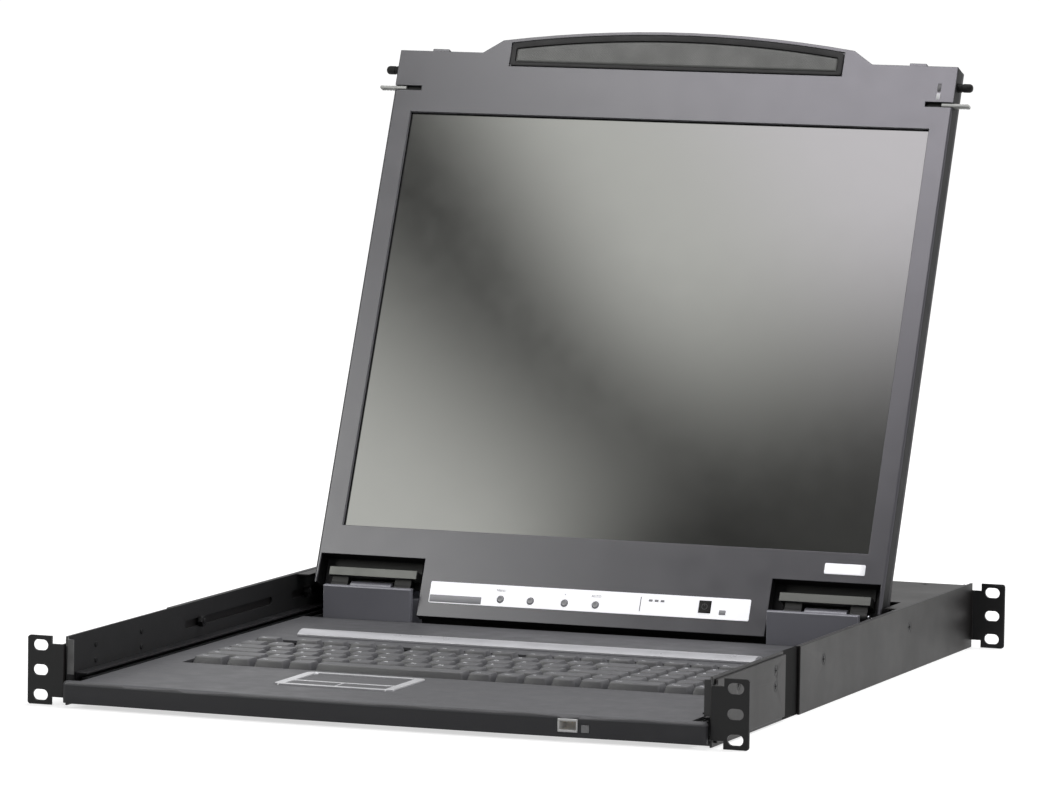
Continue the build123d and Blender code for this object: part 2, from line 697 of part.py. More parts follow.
with BuildPart() as hinge_screws:
    with BuildSketch(Plane.XY.offset(z_at(6.4))):
        with Locations((143, 384), (177, 384), (-143, 384), (-177, 384)):
            Circle(3.6)
    extrude(amount=2.2)
    with BuildSketch(Plane.XY.offset(z_at(tray_h0))):
        with Locations((143, 384), (177, 384), (-143, 384), (-177, 384)):
            Circle(2.0)
    extrude(amount=6.4 - tray_h0)
hinge_screws.part.label = "hinge_screws"
export_step(hinge_screws.part, "parts/hinge_screws.step")

# ================================================================ display
menu_x = (-65.6, -44.0, -19.5, 2.7)
menu_s = -47.0
power_x, power_s = 80.2, -43.8


# Front frame: outline with the arched handle at the top, a tongue between the hinges and a
# cheek at each lower corner
with BuildPart() as lcd_bezel:
    with BuildSketch(depth(0)):
        with BuildLine():
            Polyline(
                (-142, lid_top), (-lid_half, lid_top), (-lid_half, lid_bottom),
                (lid_half, lid_bottom), (lid_half, lid_top), (142, lid_top),
            )
            Line((142, lid_top), (128, 356.5))
            ThreePointArc((128, 356.5), (0, 366), (-128, 356.5))
            Line((-128, 356.5), (-142, lid_top))
        make_face()
        fillet(vertices().filter_by(lambda v: abs(v.X) > 200 and v.Z > 100), 5)
    extrude(amount=-lid_split)
    with BuildSketch(depth(0)):
        with Locations((lid_half - 1.5, -31.5), (-lid_half + 1.5, -31.5)):
            Rectangle(3, 21)
    extrude(amount=-lid_split)
    with BuildSketch(depth(0)):
        with Locations((0, (tongue_bottom + lid_bottom) / 2)):
            Rectangle(2 * tongue_half, lid_bottom - tongue_bottom + 0.01)
    extrude(amount=-6.5)
    # inner space
    with BuildSketch(depth(2.5)):
        with Locations((0, (lid_top - 3 - 19) / 2)):
            Rectangle(2 * lid_half - 6, lid_top - 3 + 19)
    extrude(amount=-10, mode=Mode.SUBTRACT)
    with BuildSketch(depth(2.5)):
        with Locations((0, (-19 - 59.5) / 2 + 0.5)):
            Rectangle(2 * tongue_half - 6, 40.5 + 1)
    extrude(amount=-4, mode=Mode.SUBTRACT)
    # screen opening
    with BuildSketch(depth(-1)):
        with Locations((0, screen_h / 2 - 0.5)):
            Rectangle(screen_w, screen_h)
    extrude(amount=-6, mode=Mode.SUBTRACT)
    # pocket of the handle grip
    with BuildSketch(depth(-1)):
        with BuildLine():
            Line((-121.3, 337.7), (121.3, 337.7))
            Line((121.3, 337.7), (121.3, 354.8))
            ThreePointArc((121.3, 354.8), (0, 363.6), (-121.3, 354.8))
            Line((-121.3, 354.8), (-121.3, 337.7))
        make_face()
    extrude(amount=-2, mode=Mode.SUBTRACT)
    # latch slots in the face and the edge, and the pin holes
    with BuildSketch(depth(-1)):
        with Locations((194, tab_s), (-194, tab_s)):
            Rectangle(21, 3.2)
    extrude(amount=-6.6, mode=Mode.SUBTRACT)
    with BuildSketch(Plane(lid_plane.from_local_coords(Vector(180, pin_s, -6.5)), x_dir=(0, _sn, _cs), z_dir=(1, 0, 0))):
        Circle(3.3)
    extrude(amount=40, mode=Mode.SUBTRACT)
    with BuildSketch(Plane(lid_plane.from_local_coords(Vector(-180, pin_s, -6.5)), x_dir=(0, _sn, _cs), z_dir=(-1, 0, 0))):
        Circle(3.3)
    extrude(amount=40, mode=Mode.SUBTRACT)
    # two small stops on the upper edge
    with BuildSketch(depth(2)):
        with Locations((174, lid_top + 0.9), (-174, lid_top + 0.9)):
            Rectangle(12, 3.0)
    extrude(amount=-7)
    # button holes and indicator hole
    with BuildSketch(depth(-1)):
        with Locations(*[(x, menu_s) for x in menu_x]):
            Circle(2.7)
        with Locations((power_x, power_s)):
            Rectangle(8.8, 8.8)
        with Locations((93, menu_s)):
            Circle(1.4)
    extrude(amount=-5, mode=Mode.SUBTRACT)
    # softened outer edges of the face
    chamfer(
        lcd_bezel.edges().filter_by(
            lambda e: abs(lid_plane.to_local_coords(e.center()).Z) < 0.01
            and e.length > 100
            and (
                abs(abs(lid_plane.to_local_coords(e.center()).X) - lid_half) < 0.5
            )
        ),
        1.2,
    )
lcd_bezel.part.label = "lcd_bezel"
export_step(lcd_bezel.part, "parts/lcd_bezel.step")

with BuildPart() as lid_back_cover:
    with BuildSketch(depth(lid_split)):
        with BuildLine():
            Polyline(
                (-142, lid_top), (-lid_half, lid_top), (-lid_half, lid_bottom),
                (lid_half, lid_bottom), (lid_half, lid_top), (142, lid_top),
            )
            Line((142, lid_top), (128, 356.5))
            ThreePointArc((128, 356.5), (0, 366), (-128, 356.5))
            Line((-128, 356.5), (-142, lid_top))
        make_face()
        fillet(vertices().filter_by(lambda v: abs(v.X) > 200 and v.Z > 100), 5)
    extrude(amount=-(lid_back - lid_split))
    chamfer(lid_back_cover.faces().sort_by(Axis((0, 0, 0), (0, _cs, -_sn)))[-1].edges(), 1.5)
    with BuildSketch(depth(lid_split)):
        with Locations((0, (lid_top - 3 - 19) / 2)):
            Rectangle(2 * lid_half - 6, lid_top - 3 + 19)
    extrude(amount=-4, mode=Mode.SUBTRACT)
    # skin over the hinge notches, cheeks at its ends
    with BuildSketch(depth(14.5)):
        with Locations((0, -30)):
            Rectangle(2 * lid_half, 20)
    extrude(amount=-2.5)
    with BuildSketch(depth(lid_split)):
        with Locations((lid_half - 1.5, -30), (-lid_half + 1.5, -30)):
            Rectangle(3, 20)
    extrude(amount=-5)
    # back of the tongue and the web that joins it to the skin
    with BuildSketch(depth(6.6)):
        with Locations((0, (tongue_bottom - 21.7) / 2)):
            Rectangle(2 * tongue_half, -21.7 - tongue_bottom)
    extrude(amount=-1.6)
    with BuildSketch(depth(8)):
        with Locations((0, -22.9)):
            Rectangle(2 * tongue_half - 6, 2.4)
    extrude(amount=-7)
    # slots for the hinge leaves
    with BuildSketch(depth(12.8)):
        with Locations((162, -20), (-162, -20)):
            Rectangle(66, 10)
    extrude(amount=-1.7, mode=Mode.SUBTRACT)
    # screw holes in the back
    with Locations(*[depth(lid_back) * Location((x, s, 0)) for x in (-190, 0, 190) for s in (20, 325)]):
        Hole(1.55, depth=4)
    with BuildSketch(depth(lid_back - 1.3)):
        with Locations(*[(x, s) for x in (-190, 0, 190) for s in (20, 325)]):
            Circle(3.1)
    extrude(amount=-3, mode=Mode.SUBTRACT)
lid_back_cover.part.label = "lid_back_cover"
export_step(lid_back_cover.part, "parts/lid_back_cover.step")

with BuildPart() as lid_screws:
    for x in (-190, 0, 190):
        for s in (20, 325):
            with BuildSketch(depth(13)):
                with Locations((x, s)):
                    Circle(1.5)
            extrude(amount=-2.8)
            with BuildSketch(depth(lid_back - 1.25)):
                with Locations((x, s)):
                    Circle(2.8)
            extrude(amount=-1.2)
lid_screws.part.label = "lid_screws"
export_step(lid_screws.part, "parts/lid_screws.step")

with BuildPart() as lcd_panel:
    with BuildSketch(depth(3.6)):
        with Locations((0, 150.5)):
            Rectangle(396, 325)
    extrude(amount=-8.4)
    with BuildSketch(depth(3)):
        with Locations((0, screen_h / 2 - 0.5)):
            Rectangle(screen_w + 6, screen_h + 6)
    extrude(amount=-0.6)
lcd_panel.part.label = "lcd_panel"
export_step(lcd_panel.part, "parts/lcd_panel.step")

with BuildPart() as display_board:
    with BuildSketch(depth(12.2)):
        with Locations((0, 120)):
            Rectangle(170, 90)
    extrude(amount=-1.4)
display_board.part.label = "display_board"
export_step(display_board.part, "parts/display_board.step")

with BuildPart() as button_board:
    with BuildSketch(depth(4.8)):
        with Locations((-6, -46)):
            Rectangle(212, 20)
    extrude(amount=-1.5)
button_board.part.label = "button_board"
export_step(button_board.part, "parts/button_board.step")

with BuildPart() as handle_grip:
    with BuildSketch(depth(-0.4)):
        with BuildLine():
            Line((-121, 338), (121, 338))
            Line((121, 338), (121, 354.5))
            ThreePointArc((121, 354.5), (0, 363.3), (-121, 354.5))
            Line((-121, 354.5), (-121, 338))
        make_face()
    extrude(amount=-1.4)
handle_grip.part.label = "handle_grip"
export_step(handle_grip.part, "parts/handle_grip.step")

with BuildPart() as control_strip:
    with BuildSketch(depth(-0.5)):
        with Locations((-2.5, -44.5)):
            RectangleRounded(229, 15, 1)
        with Locations(*[(x, menu_s) for x in menu_x]):
            Circle(2.7, mode=Mode.SUBTRACT)
        with Locations((power_x, power_s)):
            Rectangle(8.8, 8.8, mode=Mode.SUBTRACT)
        with Locations((93, menu_s)):
            Circle(1.4, mode=Mode.SUBTRACT)
    extrude(amount=-0.5)
control_strip.part.label = "control_strip"
export_step(control_strip.part, "parts/control_strip.step")

with BuildPart() as badge_plate:
    with BuildSketch(depth(-0.4)):
        with Locations((174, -12.2)):
            RectangleRounded(28.4, 7.4, 0.8)
    extrude(amount=-0.4)
badge_plate.part.label = "badge_plate"
export_step(badge_plate.part, "parts/badge_plate.step")

# Hinge leaf: bar across the notch, plate up inside the back cover, two moving knuckles
axis_plane = Plane(
    lid_plane.from_local_coords(Vector(0, axis_s, -axis_d)), x_dir=(0, _sn, _cs), z_dir=(1, 0, 0)
)
with BuildPart() as hinge_leaf_right:
    with BuildSketch(depth(3)):
        with Locations((162, -32.5)):
            Rectangle(64, 6.0)
    extrude(amount=-10.2)
    with BuildSketch(depth(13)):
        with Locations((162, (14 - 37) / 2)):
            Rectangle(64, 51)
    extrude(amount=-1.4)
    for x0 in (134, 180):
        with BuildSketch(axis_plane.offset(x0)):
            Circle(knuckle_r)
            with Locations((3.5, 0)):
                Rectangle(7, 7)
        extrude(amount=12)
        with BuildSketch(axis_plane.offset(x0 - 1)):
            Circle(pin_r + 0.05)
        extrude(amount=14, mode=Mode.SUBTRACT)
hinge_leaf_right.part.label = "hinge_leaf_right"
export_step(hinge_leaf_right.part, "parts/hinge_leaf_right.step")

with BuildPart() as hinge_leaf_left:
    mirror(hinge_leaf_right.part, about=Plane.YZ)
hinge_leaf_left.part.label = "hinge_leaf_left"
export_step(hinge_leaf_left.part, "parts/hinge_leaf_left.step")

# Slide latch: plate inside the frame, finger tab through the slot, pin through the edge
with BuildPart() as latch_right:
    with BuildSketch(depth(2.9)):
        with Locations((190.5, (pin_s + 3 + tab_s - 2) / 2)):
            Rectangle(17, pin_s + 3 - tab_s + 2)
    extrude(amount=-2.2)
    with BuildSketch(depth(0.4)):
        with Locations((204.5, tab_s)):
            Rectangle(19, 2.4)
    extrude(amount=-4.7)
    with BuildSketch(
        Plane(lid_plane.from_local_coords(Vector(190, pin_s, -6.5)), x_dir=(0, _sn, _cs), z_dir=(1, 0, 0))
    ):
        Circle(3.0)
    extrude(amount=23.6)
    fillet(latch_right.edges().filter_by(GeomType.CIRCLE).sort_by(Axis.X)[-1], 1.6)
latch_right.part.label = "latch_right"
export_step(latch_right.part, "parts/latch_right.step")

with BuildPart() as latch_left:
    mirror(latch_right.part, about=Plane.YZ)
latch_left.part.label = "latch_left"
export_step(latch_left.part, "parts/latch_left.step")

# Push buttons: round menu buttons with a retaining flange, square power button
for i, bx in enumerate(menu_x, start=1):
    with BuildPart() as menu_button:
        with BuildSketch(depth(-1.3)):
            with Locations((bx, menu_s)):
                Circle(2.3)
        extrude(amount=-4.7)
        with BuildSketch(depth(2.7)):
            with Locations((bx, menu_s)):
                Circle(3.3)
        extrude(amount=-0.8)
        chamfer(
            menu_button.faces().sort_by(Axis((0, 0, 0), (0, -_cs, _sn)))[-1].edges(), 0.35
        )
    menu_button.part.label = f"menu_button_{i}"
    export_step(menu_button.part, f"parts/menu_button_{i}.step")

with BuildPart() as power_button:
    with BuildSketch(depth(-1.2)):
        with Locations((power_x, power_s)):
            RectangleRounded(8, 8, 0.8)
    extrude(amount=-4.6)
    with BuildSketch(depth(2.7)):
        with Locations((power_x, power_s)):
            Rectangle(10, 10)
    extrude(amount=-0.8)
power_button.part.label = "power_button"
export_step(power_button.part, "parts/power_button.step")
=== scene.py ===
import json
import math

import bmesh
import bpy
from mathutils import Matrix, Vector


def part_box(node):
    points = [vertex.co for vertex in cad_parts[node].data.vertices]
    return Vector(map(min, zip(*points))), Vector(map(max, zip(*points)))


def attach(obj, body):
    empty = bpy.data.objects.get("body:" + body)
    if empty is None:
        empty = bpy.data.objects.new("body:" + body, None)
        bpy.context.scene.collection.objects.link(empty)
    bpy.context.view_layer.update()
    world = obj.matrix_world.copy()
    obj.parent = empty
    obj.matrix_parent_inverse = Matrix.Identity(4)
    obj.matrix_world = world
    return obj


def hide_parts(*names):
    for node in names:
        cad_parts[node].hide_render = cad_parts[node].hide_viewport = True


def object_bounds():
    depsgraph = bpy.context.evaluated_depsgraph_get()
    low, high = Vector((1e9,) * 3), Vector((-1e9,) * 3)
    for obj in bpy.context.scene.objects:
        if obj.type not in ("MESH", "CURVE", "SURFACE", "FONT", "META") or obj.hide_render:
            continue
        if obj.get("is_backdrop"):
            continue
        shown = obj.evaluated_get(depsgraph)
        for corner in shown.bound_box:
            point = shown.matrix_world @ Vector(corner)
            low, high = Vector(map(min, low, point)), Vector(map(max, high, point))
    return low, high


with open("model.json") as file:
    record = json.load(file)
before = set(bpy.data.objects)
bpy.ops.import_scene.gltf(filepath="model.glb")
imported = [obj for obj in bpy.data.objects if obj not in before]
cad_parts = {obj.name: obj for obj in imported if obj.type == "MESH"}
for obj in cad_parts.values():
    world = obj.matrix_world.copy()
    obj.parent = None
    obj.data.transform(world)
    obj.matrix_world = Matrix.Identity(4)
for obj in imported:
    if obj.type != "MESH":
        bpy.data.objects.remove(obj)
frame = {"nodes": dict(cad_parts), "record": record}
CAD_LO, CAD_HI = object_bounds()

scene = bpy.context.scene
NODES = frame["nodes"]
BODY_OF = {n: b for b, ns in frame["record"]["behaviour"]["bodies"].items() for n in ns}
MM = 0.001

# ------------------------------------------------------------------ geometry shared with the CAD
TILT = math.radians(23.0)
SN, CS = math.sin(TILT), math.cos(TILT)
AXIS_Y, AXIS_H, AXIS_S, AXIS_D = 393.0, 35.5, -42.0, 9.0
LID_O = Vector((0, AXIS_Y - AXIS_S * SN - AXIS_D * CS, AXIS_H - 22 - AXIS_S * CS + AXIS_D * SN)) * MM
LID = Matrix(((1, 0, 0, LID_O.x), (0, SN, CS * -1, LID_O.y), (0, CS, SN, LID_O.z), (0, 0, 0, 1)))
# LID maps (x, s, n): x across, s up the display, n out of the screen (metres)


def z(h):
    return (h - 22) * MM


# ------------------------------------------------------------------ node helpers
def new_mat(name):
    m = bpy.data.materials.new(name)
    m.use_nodes = True
    nt = m.node_tree
    nt.nodes.clear()
    out = nt.nodes.new("ShaderNodeOutputMaterial")
    b = nt.nodes.new("ShaderNodeBsdfPrincipled")
    nt.links.new(b.outputs[0], out.inputs[0])
    return m, nt, b


def lin(c):
    return tuple((x / 255 / 12.92) if x / 255 <= 0.04045 else ((x / 255 + 0.055) / 1.055) ** 2.4 for x in c)


def noise(nt, co, scale, detail=3.0, rough=0.55, dist=0.0):
    n = nt.nodes.new("ShaderNodeTexNoise")
    n.inputs["Scale"].default_value = scale
    n.inputs["Detail"].default_value = detail
    n.inputs["Roughness"].default_value = rough
    n.inputs["Distortion"].default_value = dist
    nt.links.new(co, n.inputs["Vector"])
    return n


def ramp(nt, fac, stops):
    r = nt.nodes.new("ShaderNodeValToRGB")
    while len(r.color_ramp.elements) > len(stops):
        r.color_ramp.elements.remove(r.color_ramp.elements[-1])
    while len(r.color_ramp.elements) < len(stops):
        r.color_ramp.elements.new(1.0)
    for e, (p, c) in zip(r.color_ramp.elements, stops):
        e.position = p
        e.color = (*c, 1) if len(c) == 3 else c
    nt.links.new(fac, r.inputs[0])
    return r


def math_node(nt, op, a, b=None, clamp=False):
    n = nt.nodes.new("ShaderNodeMath")
    n.operation = op
    n.use_clamp = clamp
    for i, v in enumerate((a, b)):
        if v is None:
            continue
        if isinstance(v, (int, float)):
            n.inputs[i].default_value = v
        else:
            nt.links.new(v, n.inputs[i])
    return n.outputs[0]


def finish_mat(name, color, rough=0.5, metallic=0.0, spec=0.5, vary=0.07, vary_scale=25.0, grain=1300.0,
               grain_mm=0.03, rough_vary=0.07, rough_scale=60.0, coat=0.0, coat_rough=0.15, speck=0.0,
               stretch=None, ior=1.5, sheen=0.0, glow=0.0):
    """Painted, moulded or plated finish: slow colour drift, fine grain relief and uneven gloss."""
    m, nt, b = new_mat(name)
    tc = nt.nodes.new("ShaderNodeTexCoord")
    co = tc.outputs["Object"]
    gco = co
    if stretch:
        mp = nt.nodes.new("ShaderNodeMapping")
        mp.inputs["Scale"].default_value = stretch
        nt.links.new(co, mp.inputs["Vector"])
        gco = mp.outputs[0]
    base = lin(color)
    lo = tuple(x * (1 - vary) for x in base)
    hi = tuple(min(1, x * (1 + vary)) for x in base)
    n1 = noise(nt, co, vary_scale, 4.0)
    colour = ramp(nt, n1.outputs["Fac"], [(0.3, lo), (0.7, hi)]).outputs[0]
    n2 = noise(nt, gco, grain, 2.0)
    if speck:
        mix = nt.nodes.new("ShaderNodeMix")
        mix.data_type = "RGBA"
        mix.blend_type = "MULTIPLY"
        mix.inputs[0].default_value = speck
        nt.links.new(colour, mix.inputs[6])
        nt.links.new(ramp(nt, n2.outputs["Fac"], [(0.35, (0.55,) * 3), (0.65, (1.3,) * 3)]).outputs[0], mix.inputs[7])
        colour = mix.outputs[2]
    nt.links.new(colour, b.inputs["Base Color"])
    n3 = noise(nt, co, rough_scale, 3.0)
    mr = nt.nodes.new("ShaderNodeMapRange")
    mr.inputs["From Min"].default_value = 0.3
    mr.inputs["From Max"].default_value = 0.7
    mr.inputs["To Min"].default_value = max(0.02, rough - rough_vary)
    mr.inputs["To Max"].default_value = min(1.0, rough + rough_vary)
    nt.links.new(n3.outputs["Fac"], mr.inputs["Value"])
    nt.links.new(mr.outputs[0], b.inputs["Roughness"])
    if grain_mm:
        bump = nt.nodes.new("ShaderNodeBump")
        bump.inputs["Strength"].default_value = 1.0
        bump.inputs["Distance"].default_value = grain_mm * MM
        nt.links.new(n2.outputs["Fac"], bump.inputs["Height"])
        nt.links.new(bump.outputs[0], b.inputs["Normal"])
    b.inputs["Metallic"].default_value = metallic
    b.inputs["Specular IOR Level"].default_value = spec
    b.inputs["IOR"].default_value = ior
    b.inputs["Coat Weight"].default_value = coat
    b.inputs["Coat Roughness"].default_value = coat_rough
    b.inputs["Sheen Weight"].default_value = sheen
    # glow makes the surface emit its own colour, a painted light: the part glows though it is no lamp
    if glow:
        b.inputs["Emission Color"].default_value = (*base, 1)
        b.inputs["Emission Strength"].default_value = glow
    return m


# ------------------------------------------------------------------ materials
M = {}
PAINT = dict(grain=1500, grain_mm=0.02, vary=0.04, vary_scale=18, rough_vary=0.03, rough_scale=30)
M["chassis_steel"] = finish_mat("powder_black", (27, 27, 28), 0.5, spec=0.45, **PAINT)
M["side_plate"] = finish_mat("powder_side", (25, 23, 23), 0.46, spec=0.28, **PAINT)
M["ear_black"] = finish_mat("powder_ear", (22, 22, 23), 0.5, spec=0.3, **PAINT)
# the left front flange is painted lighter grey than the right one, a painted highlight
M["flange_grey"] = finish_mat("flange_painted_highlight", (104, 104, 104), 0.5, spec=0.5, grain=1500, grain_mm=0.02, vary=0.25, vary_scale=90)
# near-black paint for the wall in the gap between the side plates, a painted shade
M["shade_black"] = finish_mat("gap_painted_shade", (9, 9, 9), 0.75, spec=0.12, **PAINT)
M["slide_steel"] = finish_mat("black_zinc", (44, 44, 46), 0.36, metallic=0.6, vary=0.1, vary_scale=60, grain=500,
                              grain_mm=0.006, stretch=(8, 0.4, 8), rough_vary=0.08)
M["zinc_steel"] = finish_mat("zinc_plate", (176, 178, 182), 0.32, metallic=1.0, vary=0.1, vary_scale=60, grain=500,
                             grain_mm=0.008, stretch=(8, 0.4, 8), rough_vary=0.1)
M["screw_black"] = finish_mat("screw_black", (26, 26, 27), 0.5, metallic=0.2, spec=0.3, grain=900, grain_mm=0.02)
M["circuit_board"] = finish_mat("solder_mask", (22, 74, 40), 0.38, grain=500, grain_mm=0.02, vary=0.2, vary_scale=220)
M["chip_black"] = finish_mat("chip_moulding", (24, 24, 25), 0.5, grain=2600, grain_mm=0.02)
M["contact_gold"] = finish_mat("contact_gold", (214, 176, 96), 0.25, metallic=1.0, grain=1800, grain_mm=0.004)
M["connector_black"] = finish_mat("moulded_black", (24, 24, 25), 0.42, grain=1600, grain_mm=0.03)
# the deck's front lip faces are painted darker than the deck top, a painted shade on the front-facing side
M["lip_dark"] = finish_mat("lip_painted_shade", (50, 50, 53), 0.5, grain=1700, grain_mm=0.02, vary=0.03, spec=0.3,
                           vary_scale=12)
M["deck_grey"] = finish_mat("deck_moulding", (84, 84, 87), 0.5, spec=0.28, grain=1700, grain_mm=0.02, vary=0.03,
                            vary_scale=12)
M["key_grey"] = finish_mat("key_moulding", (86, 86, 89), 0.46, grain=2600, grain_mm=0.015, vary=0.08, vary_scale=50)
M["touch_frame"] = finish_mat("silver_trim", (200, 200, 203), 0.33, metallic=0.2, grain=1500, grain_mm=0.008)
M["touch_surface"] = finish_mat("touch_surface", (80, 80, 83), 0.55, grain=2600, grain_mm=0.012)
M["trim_silver"] = finish_mat("trim_silver", (186, 186, 190), 0.34, metallic=0.2, grain=700, grain_mm=0.006,
                              stretch=(0.3, 6, 6))
M["port_housing"] = finish_mat("port_housing", (238, 238, 238), 0.4, grain=1500, grain_mm=0.012)
M["indicator_lens"] = finish_mat("indicator_lens", (122, 122, 124), 0.28, grain=900, grain_mm=0.008, coat=0.4)
M["bezel_grey"] = finish_mat("bezel_satin", (75, 74, 80), 0.24, metallic=0.26, grain=2400, grain_mm=0.003, vary=0.03,
                             vary_scale=14, rough_vary=0.02, spec=0.6)
# light grey paint on the walls of the screen opening, brighter than their shade allows: a painted highlight
M["window_edge_painted_light"] = finish_mat("window_edge_painted_light", (128, 128, 132), 0.5, spec=0.3, **PAINT)
M["edge_black"] = finish_mat("edge_black", (20, 20, 21), 0.6, spec=0.2, **PAINT)
M["back_grey"] = finish_mat("back_paint", (32, 32, 34), 0.55, spec=0.3, **PAINT)
M["grip_grey"] = finish_mat("grip_soft", (104, 105, 103), 0.6, grain=1900, grain_mm=0.03, vary=0.08, vary_scale=90)
M["grip_frame"] = finish_mat("grip_frame", (30, 30, 31), 0.55, spec=0.25, grain=1900, grain_mm=0.012)
# the control strip and the badge glow a little: painted light that keeps them white
M["strip_white"] = finish_mat("strip_film_painted_glow", (246, 246, 250), 0.3, grain=900, grain_mm=0.004, vary=0.012, glow=0.5)
M["badge_white"] = finish_mat("badge_film_painted_glow", (236, 236, 240), 0.26, grain=900, grain_mm=0.004, vary=0.02, coat=0.5,
                              glow=0.4)
M["hinge_block"] = finish_mat("hinge_block", (126, 126, 134), 0.36, metallic=0.15, **PAINT)
# near-black paint on the hinge leaf outside its bar, standing for the shade in the lid's hinge notch: painted shade
M["knuckle_painted_shade"] = finish_mat("knuckle_painted_shade", (22, 22, 23), 0.5, spec=0.3, **PAINT)
M["hinge_metal"] = finish_mat("hinge_metal", (92, 93, 91), 0.4, metallic=0.4, grain=900, grain_mm=0.008)
M["button_grey"] = finish_mat("button_grey", (148, 148, 152), 0.45, grain=1600, grain_mm=0.012)
M["button_black"] = finish_mat("button_black", (10, 10, 11), 0.5, spec=0.2, grain=1600, grain_mm=0.01)
M["latch_black"] = finish_mat("latch_black", (10, 10, 10), 0.55, spec=0.2, grain=1400, grain_mm=0.02)
M["screen"] = finish_mat("screen_panel", (12, 12, 12), 0.1, grain=6000, grain_mm=0.0003, vary=0.01, rough_vary=0.01,
                         spec=0.5, ior=1.8)
M["legend"] = finish_mat("legend_print", (222, 223, 226), 0.5, grain=2000, grain_mm=0.0, vary=0.03)
M["print_grey"] = finish_mat("print_grey", (140, 140, 146), 0.4, grain=2000, grain_mm=0.0, vary=0.04)
M["print_dark"] = finish_mat("print_dark", (52, 52, 56), 0.4, grain=2000, grain_mm=0.0, vary=0.04)
M["tab_light"] = finish_mat("tab_light", (186, 187, 184), 0.42, grain=1400, grain_mm=0.015)

slot_of = {s["node"]: s["material_slot"] for s in frame["record"]["subparts"]}
for n, o in NODES.items():
    m = M[slot_of[n]]
    if o.data.materials:
        for i in range(len(o.data.materials)):
            o.data.materials[i] = m
    else:
        o.data.materials.append(m)


# ------------------------------------------------------------------ mesh helpers
def mesh_object(name, bm, material, body=None, replaces=(), smooth=35.0):
    me = bpy.data.meshes.new(name)
    bmesh.ops.recalc_face_normals(bm, faces=bm.faces)
    bm.to_mesh(me)
    bm.free()
    o = bpy.data.objects.new(name, me)
    scene.collection.objects.link(o)
    for m in material if isinstance(material, (list, tuple)) else [material]:
        me.materials.append(m)
    if smooth:
        me.polygons.foreach_set("use_smooth", [True] * len(me.polygons))
        me.set_sharp_from_angle(angle=math.radians(smooth))
    if body:
        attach(o, body)
    if replaces:
        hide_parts(*replaces)
    return o


def even_normals(o):
    """Flat faces shade flat and only their rolled edges turn."""
    w = o.modifiers.new("even_normals", "WEIGHTED_NORMAL")
    w.keep_sharp = True
    w.weight = 80
    return o


def soften(node, width=0.4, segments=2, min_len=2.5, keep=None, material=None, paint=None, angle=28.0, cuts=()):
    """The node's own shape with its long sharp edges rounded, as bent or moulded edges are."""
    src = NODES[node]
    bm = bmesh.new()
    bm.from_mesh(src.data)
    bmesh.ops.remove_doubles(bm, verts=bm.verts, dist=2e-6)
    bmesh.ops.dissolve_limit(bm, angle_limit=math.radians(1.0), verts=bm.verts, edges=bm.edges)
    bmesh.ops.recalc_face_normals(bm, faces=bm.faces)
    sharp = [e for e in bm.edges if len(e.link_faces) == 2 and e.calc_face_angle(0) > math.radians(angle)
             and e.calc_length() > min_len * MM and (keep is None or keep(e))]
    bmesh.ops.bevel(bm, geom=sharp, offset=width * MM, offset_type="OFFSET", segments=segments, profile=0.5,
                    affect="EDGES", clamp_overlap=False, harden_normals=False)
    for y in cuts:
        bmesh.ops.bisect_plane(bm, geom=bm.verts[:] + bm.edges[:] + bm.faces[:], dist=1e-7,
                               plane_co=(0, y * MM, 0), plane_no=(0, 1, 0))
    bmesh.ops.triangulate(bm, faces=[f for f in bm.faces if len(f.verts) > 4])
    if paint:
        bm.normal_update()
        for f in bm.faces:
            f.material_index = paint(f.calc_center_median() / MM, f.normal)
    return even_normals(mesh_object(node + "_body", bm, material or src.data.materials[0], BODY_OF[node], (node,),
                                    smooth=40.0))


def loft(bm, rings, cap=True, closed=False, mat=0):
    """Quads between rings of the same number of points; ends capped, or joined into a ring."""
    vs = [[bm.verts.new(p) for p in r] for r in rings]
    n = len(vs[0])
    pairs = list(zip(vs, vs[1:])) + ([(vs[-1], vs[0])] if closed else [])
    out = []
    for a, b in pairs:
        for i in range(n):
            j = (i + 1) % n
            out.append(bm.faces.new((a[i], a[j], b[j], b[i])))
    if cap and not closed:
        out.append(bm.faces.new(vs[0][::-1]))
        out.append(bm.faces.new(vs[-1]))
    for f in out:
        f.material_index = mat
    return vs


def rrect(cx, cy, hw, hd, r, n=5):
    r = max(0.01, min(r, hw - 0.01, hd - 0.01))
    pts = []
    for k, (sx, sy) in enumerate(((1, 1), (-1, 1), (-1, -1), (1, -1))):
        for i in range(n):
            a = math.pi / 2 * (k + i / (n - 1))
            pts.append((cx + sx * (hw - r) + r * math.cos(a), cy + sy * (hd - r) + r * math.sin(a)))
    return pts


def lidp(x, s, n):
    return LID @ (Vector((x, s, n)) * MM)


def row(x, y, h):
    return Vector((x, y, h - 22)) * MM


def plate(name, shape, n0, n1, material, body="lid", at=lidp, bevel=0.12, bm=None, mat=0):
    """A thin plate with a rounded outline and a rolled edge: shape is (cx, cy, half w, half d, radius)."""
    own = bm is None
    bm = bm or bmesh.new()
    cx, cy, hw, hd, r = shape
    b = min(bevel, hw * 0.4, hd * 0.4, abs(n1 - n0) * 0.5)
    sg = 1 if n1 > n0 else -1
    levels = ((n0, 0), (n1 - sg * b, 0), (n1 - sg * b * 0.3, b * 0.3), (n1, b))
    loft(bm, [[at(x, y, n) for x, y in rrect(cx, cy, hw - i, hd - i, r - i * 0.5)] for n, i in levels], mat=mat)
    if own:
        return mesh_object(name, bm, material, body)


